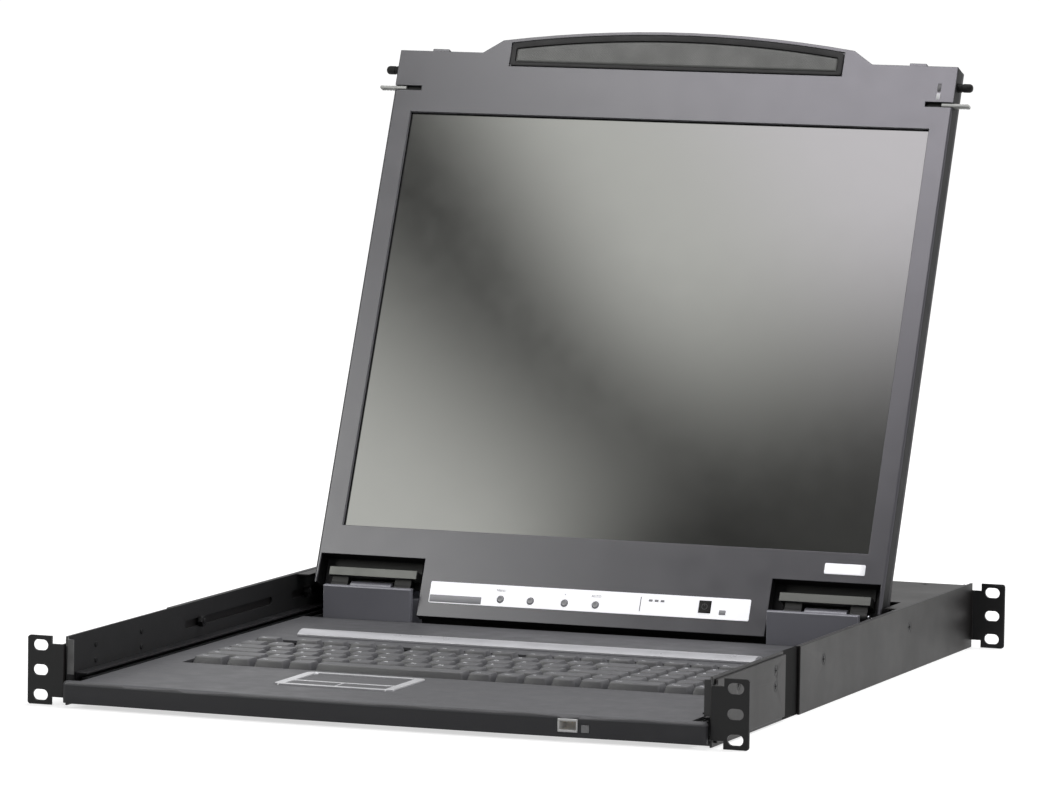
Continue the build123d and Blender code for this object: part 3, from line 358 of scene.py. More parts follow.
def glyph(text, size, font_res=2):
    """Faces of a text in the XY plane, as lists of points, one unit of text size = size mm."""
    cu = bpy.data.curves.new("tmp", "FONT")
    cu.body = text
    cu.size = size
    cu.resolution_u = font_res
    cu.align_x = "CENTER"
    cu.align_y = "CENTER"
    ob = bpy.data.objects.new("tmp", cu)
    scene.collection.objects.link(ob)
    dg = bpy.context.evaluated_depsgraph_get()
    me = bpy.data.meshes.new_from_object(ob.evaluated_get(dg))
    bpy.data.objects.remove(ob)
    bpy.data.curves.remove(cu)
    return me


GLYPHS = {}


def stamp(bm, text, size, place, top, under, mat):
    """Raised print: the text's outline as a closed thin solid. place(u, v, height) gives the point."""
    key = (text, size)
    if key not in GLYPHS:
        me = glyph(text, size)
        t = bmesh.new()
        t.from_mesh(me)
        bpy.data.meshes.remove(me)
        bmesh.ops.remove_doubles(t, verts=t.verts, dist=1e-5)
        bmesh.ops.triangulate(t, faces=t.faces)
        t.verts.index_update()
        pts = [(v.co.x, v.co.y) for v in t.verts]
        faces = [[v.index for v in f.verts] for f in t.faces if f.calc_area() > 1e-9]
        t.free()
        GLYPHS[key] = (pts, faces)
    pts, faces = GLYPHS[key]
    up = [bm.verts.new(place(x, y, top)) for x, y in pts]
    dn = [bm.verts.new(place(x, y, under)) for x, y in pts]
    count = {}
    for f in faces:
        for i in range(len(f)):
            count.setdefault(frozenset((f[i], f[(i + 1) % len(f)])), []).append((f[i], f[(i + 1) % len(f)]))
    for f in faces:
        a = bm.faces.new([up[i] for i in f])
        b = bm.faces.new([dn[i] for i in reversed(f)])
        a.material_index = b.material_index = mat
    for e in count.values():
        if len(e) == 1:
            i, j = e[0]
            bm.faces.new((up[j], up[i], dn[i], dn[j])).material_index = mat


# ------------------------------------------------------------------ sheet metal and mouldings
def long_edge(limit):
    return lambda e: e.calc_length() > limit * MM


def wall_paint(c, n):
    # painted shade: the wall's strip between the side plates is painted near-black where the gap lies in shadow;
    # painted highlight: the left turned-in front flange is painted lighter grey
    if 138.0 < c.y < 167.0 and abs(c.x) > 215.5:
        return 1
    # painted highlight on the left front flange
    if c.y < 2.6 and -215.2 < c.x < 0 and c.z > -1:
        return 2
    return 0


def ear_paint(c, n):
    return 1 if abs(c.x) > 219.0 else 0


EARS = [M["side_plate"], M["ear_black"]]
soften("chassis_tray", 0.35, material=[M["chassis_steel"], M["shade_black"], M["flange_grey"]], paint=wall_paint,
       cuts=(138.0, 167.0))
soften("rear_cover", 0.3)
soften("front_bracket_left", 0.45, material=EARS, paint=ear_paint)
soften("front_bracket_right", 0.45, material=EARS, paint=ear_paint)
soften("rear_bracket_left", 0.45, material=EARS, paint=ear_paint)
soften("rear_bracket_right", 0.45, material=EARS, paint=ear_paint)
soften("drawer_tray", 0.35)
soften("keyboard_plate", 0.25)
for side in ("left", "right"):
    for member in ("outer", "middle", "inner"):
        soften(f"slide_{member}_{side}", 0.2)
    soften(f"hinge_bracket_{side}", 0.4, keep=lambda e: e.calc_length() > 3.4 * MM, material=M["hinge_block"])
    # the leaf outside the bar is painted near-black, a painted shade for the dark notch around it
    soften(f"hinge_leaf_{side}", 0.3, material=[M["hinge_metal"], M["knuckle_painted_shade"]],
           paint=lambda c, n: 0 if -35.6 * MM < (LID.inverted() @ (c * MM)).y < -29.2 * MM else 1)
# the front lip faces get the darker paint: painted shade
soften("deck_cover", 0.45, keep=lambda e: min(v.co.y for v in e.verts) > -0.5 * MM and e.calc_length() > 4 * MM,
       material=[M["deck_grey"], M["lip_dark"]], paint=lambda c, n: 1 if c.y < -2.7 and n.z < 0.06 else 0)
soften("trim_bar", 0.3)
soften("touchpad_frame", 0.3, segments=3)
soften("touchpad", 0.2)
soften("status_led", 0.35, segments=3)
FRONT = Vector((0, -CS, SN))


def bezel_paint(c, n):
    # the pressed edge is black, the walls of the openings are painted light grey, a painted highlight that lifts the
    # shade in the recess, and the face is satin grey
    if n.dot(FRONT) > 0.5:
        return 0
    p = (LID.inverted() @ (c * MM)) / MM
    return 2 if abs(p.x) < 191 and -3 < p.y < 305 and abs(n.z) + abs(n.x) > 0.8 else 1


soften("lcd_bezel", 0.45, segments=3, material=[M["bezel_grey"], M["edge_black"], M["window_edge_painted_light"]], paint=bezel_paint)
soften("lid_back_cover", 0.5, keep=long_edge(6))
soften("lcd_panel", 0.1)
soften("power_supply", 0.4, keep=long_edge(4))
soften("badge_plate", 0.12)
soften("control_strip", 0.12)
for b in ("display_board", "button_board"):
    soften(b, 0.15)


# ------------------------------------------------------------------ boards: laminate and chips
def board_paint(top):
    def paint(c, n):
        return 1 if c.z > top else 0
    return paint


soften("main_board", 0.15, material=[M["circuit_board"], M["chip_black"]],
       paint=board_paint(max(v.co.z for v in NODES["main_board"].data.vertices) / MM - 17.0))
soften("keyboard_board", 0.15)

# ------------------------------------------------------------------ key caps
PITCH, GAP, KEY_H0, KEY_H1, KEYS_X0 = 19.0, 1.9, 13.4, 20.0, -180.5
ROWS = {
    "key_row_function": (229.5, 13.6,
                         [1, -0.5, 1, 1, 1, 1, -0.25, 1, 1, 1, 1, -0.25, 1, 1, 1, 1, 1, 1, 1, 1, 1],
                         ["Esc", "F1", "F2", "F3", "F4", "F5", "F6", "F7", "F8", "F9", "F10", "F11", "F12",
                          "Prt", "Scr", "Brk", "Num", "Ins"]),
    "key_row_number": (202.5, 17.1, [1] * 13 + [2] + [1] * 4,
                       ["~", "1", "2", "3", "4", "5", "6", "7", "8", "9", "0", "-", "=", "Back", "7", "8", "9", "*"]),
    "key_row_upper": (183.5, 17.1, [1.5] + [1] * 12 + [1.5] + [1] * 4,
                      ["Tab", "Q", "W", "E", "R", "T", "Y", "U", "I", "O", "P", "[", "]", "\\", "4", "5", "6", "-"]),
    "key_row_home": (164.5, 17.1, [1.75] + [1] * 11 + [2.25] + [1] * 4,
                     ["Caps", "A", "S", "D", "F", "G", "H", "J", "K", "L", ";", "'", "Enter", "1", "2", "3", "+"]),
    "key_row_lower": (145.5, 17.1, [2.25] + [1] * 10 + [1.75] + [1] * 5,
                      ["Shift", "Z", "X", "C", "V", "B", "N", "M", ",", ".", "/", "Shift", "^", "0", "00", ".", "="]),
    "key_row_bottom": (126.5, 17.1, [1.25, 1, 1.25, 1, -5.5, 1, 1, 1, 1, 1, 2, 1, 1],
                       ["Ctrl", "Fn", "Alt", "`", "Alt", "Ctrl", "<", "v", ">", "End", "PgUp", "PgDn"]),
    "space_bar": (126.5, 17.1, [-4.5, 5.5], [""]),
}


def key_cap(bm, cx, cy, w, d, text):
    """Low cap: rounded skirt, narrow rolled rim and a shallow dished top; the long bar is crowned."""
    hw, hd = w / 2, d / 2
    crown = text == ""
    dip = -0.25 if crown else 0.42
    inset = (KEY_H1 - KEY_H0) * math.tan(math.radians(13))
    tw, td = hw - inset, hd - inset

    def surf(x, y):
        u = min(1, abs(x - cx) / (tw - 0.5))
        v = min(1, abs(y - cy) / (td - 0.5))
        if crown:
            return KEY_H1 - 0.3 + 0.3 * (1 - v * v)
        return KEY_H1 - 0.06 - dip * (1 - u * u) * (1 - v ** 4)

    levels = [(KEY_H0, 0.0, 0.5), (KEY_H0 + 0.5, 0.06, 0.8), (KEY_H0 + 3.0, inset * 0.45, 1.0),
              (KEY_H1 - 1.0, inset * 0.86, 1.4), (KEY_H1 - 0.45, inset * 0.97, 1.6), (KEY_H1 - 0.16, inset + 0.16, 1.7),
              ]
    rings = [[row(x, y, h) for x, y in rrect(cx, cy, hw - i, hd - i, r, 4)] for h, i, r in levels]
    for i in (0.42, 0.8, 1.5, 2.6, 4.0, 5.2):
        if td - (i - 0.2) < 0.6:
            break
        rings.append([row(x, y, min(surf(x, y), KEY_H1 - 0.02)) for x, y in
                      rrect(cx, cy, tw - (i - 0.2), td - (i - 0.2), max(0.3, 1.7 - i * 0.3), 4)])
    loft(bm, rings)
    if text:
        size = 4.4 if len(text) == 1 else 2.9
        ox = -tw + 2.6 if len(text) == 1 else min(0, -tw + 1.2 + 0.85 * len(text))
        oy = td - 3.0 if len(text) == 1 else 0.9
        if d < 15:
            oy = 0.4
        stamp(bm, text, size, lambda u, v, t: row(cx + ox + u, cy + oy + v, surf(cx + ox + u, cy + oy + v) + t),
              0.045, -0.05, 1)


for name, (ky, kd, widths, caps) in ROWS.items():
    bm = bmesh.new()
    x = KEYS_X0
    it = iter(caps)
    for w in widths:
        if w > 0:
            key_cap(bm, x + w * PITCH / 2, ky, w * PITCH - GAP, kd, next(it))
        x += abs(w) * PITCH
    bmesh.ops.triangulate(bm, faces=[f for f in bm.faces if len(f.verts) > 4])
    mesh_object(name + "_caps", bm, [M["key_grey"], M["legend"]], BODY_OF[name], (name,), smooth=50)

# ------------------------------------------------------------------ touchpad buttons: slightly crowned, rolled edges
for side in ("left", "right"):
    n = f"touchpad_button_{side}"
    lo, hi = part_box(n)
    lo, hi = [v / MM for v in lo], [v / MM for v in hi]
    cx, cy, hw, hd = (lo[0] + hi[0]) / 2, (lo[1] + hi[1]) / 2, (hi[0] - lo[0]) / 2, (hi[1] - lo[1]) / 2
    h0, h1 = lo[2] + 22, hi[2] + 22
    bm = bmesh.new()
    rings = [[row(px, py, h) for px, py in rrect(cx, cy, hw - i, hd - i, r, 5)] for h, i, r in
             ((h0, 0, 0.4), (h1 - 0.7, 0, 0.5), (h1 - 0.35, 0.1, 0.7), (h1 - 0.15, 0.35, 1.0), (h1 - 0.04, 0.9, 1.4),
              (h1, 2.6, 1.8), (h1, 4.5, 1.0))]
    loft(bm, rings)
    bmesh.ops.triangulate(bm, faces=[f for f in bm.faces if len(f.verts) > 4])
    mesh_object(n + "_cap", bm, M["touch_surface"], n, (n,), smooth=50)

# ------------------------------------------------------------------ front socket: housing, tongue and contacts
soften("usb_port", 0.25, segments=3)
PX, PH = 126.9, 9.9
for i in range(4):
    cx = PX - 3.6 + i * 2.4
    bm = bmesh.new()
    rings = []
    for y, k in ((-6.6, 0.0), (-6.3, 0.12), (-0.2, 0.12), (0.0, 0.12)):
        rings.append([row(cx + sx * (0.55 - k * 0.4), y, 11.46 + sz) for sx, sz in
                      ((-1, 0.12), (-1, -0.02 - k * 0.5), (-0.6, -0.06 - k), (0.6, -0.06 - k), (1, -0.02 - k * 0.5), (1, 0.12))])
    loft(bm, rings)
    bmesh.ops.triangulate(bm, faces=[f for f in bm.faces if len(f.verts) > 4])
    mesh_object(f"front_contact_{i + 1}", bm, M["contact_gold"], "drawer", smooth=30)

# ------------------------------------------------------------------ screws
COS = math.cos


def star_angles():
    t0 = math.atan2(0.62, 2.2)
    base = [0, t0, (t0 + math.pi / 4) / 2, math.pi / 4, math.pi / 2 - (t0 + math.pi / 4) / 2, math.pi / 2 - t0]
    return [q * math.pi / 2 + a for q in range(4) for a in base]


ANGLES = star_angles()


def cross_r(a, arm, half):
    t = a % (math.pi / 2)
    if t > math.pi / 4:
        t = math.pi / 2 - t
    if math.tan(t) <= half / arm + 1e-6:
        return arm / math.cos(t)
    return half / math.sin(t)


def screw(bm, origin, axis, side, profile, arm, half, recess, flat=None):
    """Turned screw: profile is (distance along the axis, radius) from the shank's end to the rim of the
    head; the drive is a cross recess. origin is the centre of the head's top."""
    axis = Vector(axis).normalized()
    side = Vector(side).normalized()
    third = axis.cross(side)
    o = Vector(origin)

    def pt(t, r, a):
        return o + (axis * t + (side * math.cos(a) + third * math.sin(a)) * r) * MM

    rings = [[pt(t, r, a) for a in ANGLES] for t, r in profile]
    top = profile[-1][0]
    rings.append([pt(top, cross_r(a, arm, half), a) for a in ANGLES])
    rings.append([pt(top - recess * 0.6, cross_r(a, arm * 0.82, half * 0.8), a) for a in ANGLES])
    rings.append([pt(top - recess, cross_r(a, arm * 0.35, half * 0.35), a) for a in ANGLES])
    loft(bm, rings)


def hex_ring(bm, origin, axis, side, r_in, r_out, t0, t1):
    axis = Vector(axis).normalized()
    side = Vector(side).normalized()
    third = axis.cross(side)
    o = Vector(origin)
    n = 24

    def pt(t, r, a):
        return o + (axis * t + (side * math.cos(a) + third * math.sin(a)) * r) * MM

    def hexr(a, k):
        t = (a % (math.pi / 3)) - math.pi / 6
        return k * math.cos(math.pi / 6) / math.cos(t)

    an = [2 * math.pi * i / n for i in range(n)]
    ch = 0.35
    loft(bm, [[pt(t0, r_in, a) for a in an], [pt(t0, min(hexr(a, r_out), r_out - ch), a) for a in an],
              [pt(t0 + ch, hexr(a, r_out), a) for a in an], [pt(t1 - ch, hexr(a, r_out), a) for a in an],
              [pt(t1, min(hexr(a, r_out), r_out - ch), a) for a in an], [pt(t1, r_in, a) for a in an]], closed=True)


def done(name, bm, material, node):
    bmesh.ops.triangulate(bm, faces=[f for f in bm.faces if len(f.verts) > 4])
    mesh_object(name, bm, material, BODY_OF[node], (node,), smooth=32)


bm = bmesh.new()
for sg in (1, -1):
    for y in (45, 118):
        for h in (24, 34):
            screw(bm, row(sg * 218.4, y, h), (sg, 0, 0), (0, 0, 1),
                  [(-4.1, 1.4), (-3.7, 1.9), (-1.75, 1.95), (-1.6, 2.1), (-0.25, 3.45), (-0.05, 3.6), (0, 3.45)], 1.9, 0.5, 0.9)
for x in (-190, 190):
    for y in (428, 526):
        screw(bm, row(x, y, 43.65), (0, 0, 1), (1, 0, 0),
              [(-6.6, 1.1), (-6.3, 1.45), (-1.3, 1.5), (-1.15, 1.6), (-0.2, 2.6), (-0.04, 2.72), (0, 2.6)], 1.5, 0.4, 0.8)
done("chassis_screw_set", bm, M["screw_black"], "chassis_screws")
for side, sg in (("right", 1), ("left", -1)):
    bm = bmesh.new()
    for y in (215, 400):
        screw(bm, row(sg * 218.5, y, 30), (sg, 0, 0), (0, 0, 1),
              [(-7.2, 1.6), (-6.9, 1.95), (-2.0, 2.0), (-1.85, 2.2), (-0.3, 3.65), (-0.06, 3.8), (0, 3.6)], 2.1, 0.55, 1.0)
        hex_ring(bm, row(sg * 211.8, y, 30), (sg, 0, 0), (0, 1, 0), 2.0, 4.0, 0.0, 3.1)
    done(f"bracket_screw_set_{side}", bm, M["screw_black"], f"bracket_screws_{side}")
bm = bmesh.new()
LAX = Vector((0, COS(TILT) * 1.0, -math.sin(TILT)))
for x in (-190, 0, 190):
    for s in (20, 325):
        screw(bm, lidp(x, s, -16.95), LAX, (1, 0, 0),
              [(-3.9, 1.1), (-3.6, 1.45), (-1.15, 1.5), (-1.1, 2.5), (-0.9, 2.72), (-0.35, 2.78), (-0.1, 2.6), (0, 2.2)],
              1.5, 0.4, 0.7)
done("lid_screw_set", bm, M["screw_black"], "lid_screws")
bm = bmesh.new()
for x in (143, 177, -143, -177):
    screw(bm, row(x, 384, 8.6), (0, 0, 1), (1, 0, 0),
          [(-6.6, 1.6), (-6.3, 1.95), (-2.2, 2.0), (-2.15, 3.3), (-1.95, 3.55), (-0.7, 3.6), (-0.25, 3.3), (0, 2.7)],
          1.9, 0.5, 0.9)
done("hinge_screw_set", bm, M["screw_black"], "hinge_screws")
bm = bmesh.new()
for c in (132.5, -193.5):
    lo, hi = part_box("hinge_pins")
for sg in (1, -1):
    lo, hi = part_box("hinge_pins")
    x0, x1 = 132.5, hi[0] / MM
    an = [2 * math.pi * i / 28 for i in range(28)]
    loft(bm, [[row(sg * px, AXIS_Y + r_ * math.cos(a), AXIS_H + r_ * math.sin(a)) for a in an] for px, r_ in
              ((x0, 1.5), (x0 + 0.4, 1.95), (x0 + 0.6, 2.0), (x1 - 0.6, 2.0), (x1 - 0.4, 1.95), (x1, 1.5))])
done("hinge_pin_set", bm, M["zinc_steel"], "hinge_pins")

# ------------------------------------------------------------------ handle grip: dark frame, ribbed soft insert
ARC_R = 836.3


def grip_top(x, drop=0.0):
    return 363.3 - (ARC_R - math.sqrt(ARC_R * ARC_R - x * x)) - drop


def grip_loop(side, low, high, r, n=36):
    """Outline of the grip pocket drawn in by side, low and high, with rounded corners."""
    hw = 121.0 - side
    s0 = 338.0 + low
    pts = []
    k = 6
    for i in range(k):                                    # lower right
        a = -math.pi / 2 + math.pi / 2 * i / (k - 1)
        pts.append((hw - r + r * math.cos(a), s0 + r + r * math.sin(a)))
    st = grip_top(hw, high)
    for i in range(k):                                    # upper right
        a = math.pi / 2 * i / (k - 1)
        pts.append((hw - r + r * math.cos(a), st - r + r * math.sin(a) + 0.07 * r * math.sin(a)))
    for i in range(1, n):                                 # arc, right to left
        x = (hw - r) * (1 - 2 * i / n)
        pts.append((x, grip_top(x, high)))
    for i in range(k):                                    # upper left
        a = math.pi / 2 + math.pi / 2 * i / (k - 1)
        pts.append((-(hw - r) + r * math.cos(a), st - r + r * math.sin(a) + 0.07 * r * math.sin(a)))
    for i in range(k):                                    # lower left
        a = math.pi + math.pi / 2 * i / (k - 1)
        pts.append((-(hw - r) + r * math.cos(a), s0 + r + r * math.sin(a)))
    for i in range(1, n):                                 # lower edge
        pts.append((-(hw - r) + 2 * (hw - r) * i / n, s0))
    return pts


bm = bmesh.new()
loops = [(0.0, 0.0, 0.0, 2.0, -1.0), (0.0, 0.0, 0.0, 2.0, 0.05), (0.25, 0.25, 0.25, 1.9, 0.32), (0.6, 0.6, 0.6, 1.7, 0.4),
         (3.2, 2.2, 3.6, 1.4, 0.4), (3.6, 2.5, 4.1, 1.3, 0.28), (3.8, 2.7, 4.4, 1.2, -0.2), (3.8, 2.7, 4.4, 1.2, -1.0)]
loft(bm, [[lidp(x, s, n) for x, s in grip_loop(a, b, c, r)] for a, b, c, r, n in loops], closed=True)
mesh_object("grip_frame", bm, M["grip_frame"], "lid", ("handle_grip",), smooth=40)

# the insert: a cushion of small crossed ribs
bm = bmesh.new()
NX, NS = 560, 30
grid = []
for j in range(NS + 1):
    line = []
    for i in range(NX + 1):
        x = -116.9 + 233.8 * i / NX
        lo_s, hi_s = 341.0, grip_top(x, 4.7)
        s = lo_s + (hi_s - lo_s) * j / NS
        edge = min((116.9 - abs(x)) / 1.6, (s - lo_s) / 1.3, (hi_s - s) / 1.3, 1.0)
        edge = max(0.0, edge)
        rib = abs(math.sin((x + s) * math.pi / 1.9)) * abs(math.sin((x - s) * math.pi / 1.9))
        n = -0.55 + 0.62 * math.sin(edge * math.pi / 2) + 0.26 * rib * edge
        line.append(bm.verts.new(lidp(x, s, n)))
    grid.append(line)
for j in range(NS):
    for i in range(NX):
        bm.faces.new((grid[j][i], grid[j][i + 1], grid[j + 1][i + 1], grid[j + 1][i]))
rim = ([(0, i) for i in range(NX)] + [(j, NX) for j in range(NS)] + [(NS, i) for i in range(NX, 0, -1)]
       + [(j, 0) for j in range(NS, 0, -1)])
under = {}
for j, i in rim:
    p = LID.inverted() @ grid[j][i].co
    under[(j, i)] = bm.verts.new(LID @ Vector((p.x, p.y, -1.0 * MM)))
for a, b in zip(rim, rim[1:] + rim[:1]):
    bm.faces.new((grid[a[0]][a[1]], under[a], under[b], grid[b[0]][b[1]]))
bm.faces.new([under[a] for a in rim])
bmesh.ops.triangulate(bm, faces=[f for f in bm.faces if len(f.verts) > 4])
mesh_object("grip_insert", bm, M["grip_grey"], "lid", smooth=50)

# ------------------------------------------------------------------ latches: black slide and pin, light finger tab
PIN_S, TAB_S = 334.0, 319.3
for side, sg in (("right", 1), ("left", -1)):
    body = f"latch_{side}"
    bm = bmesh.new()
    # slide plate
    cx, cy, hw, hd = 190.5 * sg, (PIN_S + 3 + TAB_S - 2) / 2, 8.5, (PIN_S + 3 - TAB_S + 2) / 2
    loft(bm, [[lidp(x, s, n) for x, s in rrect(cx, cy, hw - i, hd - i, 1.0)] for n, i in
              ((-5.1, 0.2), (-4.9, 0), (-3.1, 0), (-2.9, 0.2))])
    bmesh.ops.triangulate(bm, faces=[f for f in bm.faces if len(f.verts) > 4])
    # pin with a domed end and a groove
    an = [2 * math.pi * i / 32 for i in range(32)]
    loft(bm, [[lidp(sg * px, PIN_S + r_ * math.cos(a), -6.5 + r_ * math.sin(a)) for a in an] for px, r_ in
              ((190, 2.6), (190.3, 3.0), (206.0, 3.0), (206.3, 2.7), (207.0, 2.7), (207.3, 3.0), (211.5, 3.0), (212.4, 2.75),
               (213.1, 2.2), (213.5, 1.5), (213.6, 0.7))])
    mesh_object(f"latch_pin_{side}", bm, M["latch_black"], body, (body,), smooth=40)
    # finger tab: rolled edges and three grip ridges on the part outside
    bm = bmesh.new()
    secs = []
    xs = [195.0, 195.3, 203.0, 205.0]
    hts = [1.05, 1.2, 1.2, 1.2]
    for k in range(3):
        x0 = 206.0 + k * 2.2
        xs += [x0, x0 + 0.4, x0 + 0.8, x0 + 1.2]
        hts += [1.2, 1.02, 1.02, 1.2]
    xs += [213.6, 214.1, 214.4]
    hts += [1.2, 1.05, 0.75]
    for px, hh in zip(xs, hts):
        secs.append([lidp(sg * px, TAB_S + a, n) for a, n in rrect(0, -2.75, hh, 2.3, 0.5, 4)])
    loft(bm, secs)
    bmesh.ops.triangulate(bm, faces=[f for f in bm.faces if len(f.verts) > 4])
    mesh_object(f"latch_tab_{side}", bm, M["tab_light"], body, smooth=35)

# printed arrow beside the right latch
bm = bmesh.new()
plate("", (192.0, 331.6, 1.3, 3.0, 0.4), -0.02, 0.05, None, bm=bm, bevel=0.02, mat=0)
plate("", (192.0, 325.2, 1.3, 2.4, 0.4), -0.02, 0.05, None, bm=bm, bevel=0.02, mat=1)
bmesh.ops.triangulate(bm, faces=[f for f in bm.faces if len(f.verts) > 4])
mesh_object("latch_print", bm, [M["print_dark"], M["legend"]], "lid", smooth=40)

# ------------------------------------------------------------------ control strip print
bm = bmesh.new()
plate("", (-97.9, -48.9, 18.7, 2.6, 0.4), 0.46, 0.54, None, bm=bm, bevel=0.02, mat=0)
for i, x in enumerate((34.5,)):
    plate("", (x, -44.5, 0.35, 5.2, 0.1), 0.46, 0.54, None, bm=bm, bevel=0.02, mat=0)
plate("", (93.0, -47.2, 2.4, 1.7, 0.3), 0.46, 0.54, None, bm=bm, bevel=0.02, mat=0)
for i in range(3):
    plate("", (41.5 + 4.2 * i, -41.6, 1.4, 0.8, 0.3), 0.46, 0.54, None, bm=bm, bevel=0.02, mat=0)
for x, t in zip((-65.6, -44.0, -19.5, 2.7), ("MENU", "-", "+", "AUTO")):
    stamp(bm, t, 2.5, lambda u, v, q, x=x: lidp(x + u, -41.0 + v, 0.5 + q), 0.05, -0.03, 1)
bmesh.ops.triangulate(bm, faces=[f for f in bm.faces if len(f.verts) > 4])
mesh_object("strip_print", bm, [M["print_grey"], M["print_dark"]], "lid", smooth=40)

# ------------------------------------------------------------------ push buttons with a rolled rim and a dished top
for i, bx in enumerate((-65.6, -44.0, -19.5, 2.7), start=1):
    bm = bmesh.new()
    an = [2 * math.pi * k / 32 for k in range(32)]
    loft(bm, [[lidp(bx + r_ * math.cos(a), -47.0 + r_ * math.sin(a), n) for a in an] for n, r_ in
              ((-3.5, 2.9), (-3.3, 3.3), (-2.9, 3.3), (-2.7, 3.1), (-2.7, 2.3), (0.7, 2.3), (1.1, 2.18), (1.3, 1.9),
               (1.28, 1.6), (1.12, 1.1), (1.06, 0.5))])
    bmesh.ops.triangulate(bm, faces=[f for f in bm.faces if len(f.verts) > 4])
    mesh_object(f"menu_button_{i}_cap", bm, M["button_grey"], f"menu_button_{i}", (f"menu_button_{i}",),
                smooth=40)
soften("power_button", 0.35, segments=3)
bm = bmesh.new()
PBX, PBS = 80.2, -43.8
top_n = max((LID.inverted() @ v.co).z for v in NODES["power_button"].data.vertices) / MM


def ring_print(bm, cx, cy, r, w, a0, a1, n0, n1, mat=0, steps=26):
    secs = []
    for k in range(steps + 1):
        a = a0 + (a1 - a0) * k / steps
        secs.append([lidp(cx + q * math.cos(a), cy + q * math.sin(a), n) for q, n in
                     ((r - w / 2, n0), (r - w / 2, n1), (r + w / 2, n1), (r + w / 2, n0))])
    loft(bm, secs, mat=mat)


ring_print(bm, PBX, PBS, 1.9, 0.4, math.radians(120), math.radians(420), top_n - 0.02, top_n + 0.05)
plate("", (PBX, PBS + 1.5, 0.2, 1.1, 0.08), top_n - 0.02, top_n + 0.05, None, bm=bm, bevel=0.02)
mesh_object("power_print", bm, M["print_dark"], "power_button", smooth=40)

# ------------------------------------------------------------------ rear connectors
soften("power_inlet", 0.4, segments=3)
soften("power_rocker", 0.4, segments=3)

# socket face and posts of the console connector: a hollow shell around an insert with rows of contacts
def d_ring(cx, ch, w_top, w_bot, hh, r, y):
    """Rounded trapezium outline, wide edge up."""
    pts = []
    cs = [(cx + w_bot, ch - hh), (cx + w_top, ch + hh), (cx - w_top, ch + hh), (cx - w_bot, ch - hh)]
    for i, c in enumerate(cs):
        p, nx = Vector(cs[i - 1]), Vector(cs[(i + 1) % 4])
        c = Vector(c)
        a, b2 = (p - c).normalized(), (nx - c).normalized()
        half = math.acos(max(-1, min(1, a.dot(b2)))) / 2
        t = r / math.tan(half)
        cen = c + (a + b2).normalized() * (r / math.sin(half))
        s0, s1 = c + a * t - cen, c + b2 * t - cen
        a0, a1 = math.atan2(s0.y, s0.x), math.atan2(s1.y, s1.x)
        while a1 - a0 > math.pi:
            a1 -= 2 * math.pi
        while a1 - a0 < -math.pi:
            a1 += 2 * math.pi
        for k in range(6):
            g = a0 + (a1 - a0) * k / 5
            pts.append(row(cen.x + r * math.cos(g), y, cen.y + r * math.sin(g)))
    return pts


bm = bmesh.new()
loft(bm, [d_ring(30, 15, 8.4 - i, 6.6 - i, 4.1 - i, 2.0 - i * 0.6, y) for y, i in
          ((536.0, 0), (541.2, 0), (541.5, 0.12), (541.6, 0.3), (541.5, 0.5), (537.6, 0.5))])
loft(bm, [[row(px, y, ph) for px, ph in rrect(30, 15, 15.5 - i, 6.2 - i, 1.0)] for y, i in
          ((535.0, 0), (535.8, 0), (536.0, 0.2))])
loft(bm, [[row(px, y, ph) for px, ph in rrect(30, 15, 9.3, 5.1, 0.5)] for y in (520.0, 535.05)])
for px in (17.5, 42.5):
    hex_ring(bm, row(px, 536, 15), (0, 1, 0), (1, 0, 0), 1.45, 2.9, 0.0, 5.0)
bmesh.ops.triangulate(bm, faces=[f for f in bm.faces if len(f.verts) > 4])
mesh_object("console_shell", bm, M["zinc_steel"], "chassis", ("video_port",), smooth=35)
bm = bmesh.new()
loft(bm, [d_ring(30, 15, 7.7 - i, 5.9 - i, 3.45 - i, 1.6, y) for y, i in ((537.4, 0), (540.2, 0), (540.4, 0.2))])
for j, (count, off) in enumerate(((5, 0.0), (5, 1.1), (5, 0.0))):
    for k in range(count):
        cx, ch = 30 - 4.6 + 2.3 * k + (off - 0.55), 17.0 - 2.0 * j
        an = [2 * math.pi * q / 14 for q in range(14)]
        loft(bm, [[row(cx + r_ * math.cos(a), y, ch + r_ * math.sin(a)) for a in an] for y, r_ in
                  ((540.35, 0.42), (540.35, 0.78), (540.55, 0.7), (540.6, 0.42), (540.45, 0.38))], closed=True, mat=1)
bmesh.ops.triangulate(bm, faces=[f for f in bm.faces if len(f.verts) > 4])
mesh_object("console_insert", bm, [M["connector_black"], M["zinc_steel"]], "chassis", smooth=35)
# marks on the rocker
bm = bmesh.new()
lo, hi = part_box("power_rocker")
RP = Matrix.Rotation(math.radians(8), 3, "X")


def on_rocker(x, hgt, out):
    p = RP @ Vector((x, 0, hgt))
    nrm = RP @ Vector((0, 1, 0))
    p = p + nrm * (5.5 + out)
    return (Vector((-122.0, 531.0, (lo[2] + hi[2]) / 2 / MM)) + p) * MM


stamp(bm, "I", 4.2, lambda u, v, q: on_rocker(-u, 4.6 + v, q), 0.05, -0.05, 0)
stamp(bm, "O", 4.2, lambda u, v, q: on_rocker(-u, -4.6 + v, q), 0.05, -0.05, 0)
mesh_object("rocker_marks", bm, M["legend"], "rocker", smooth=30)
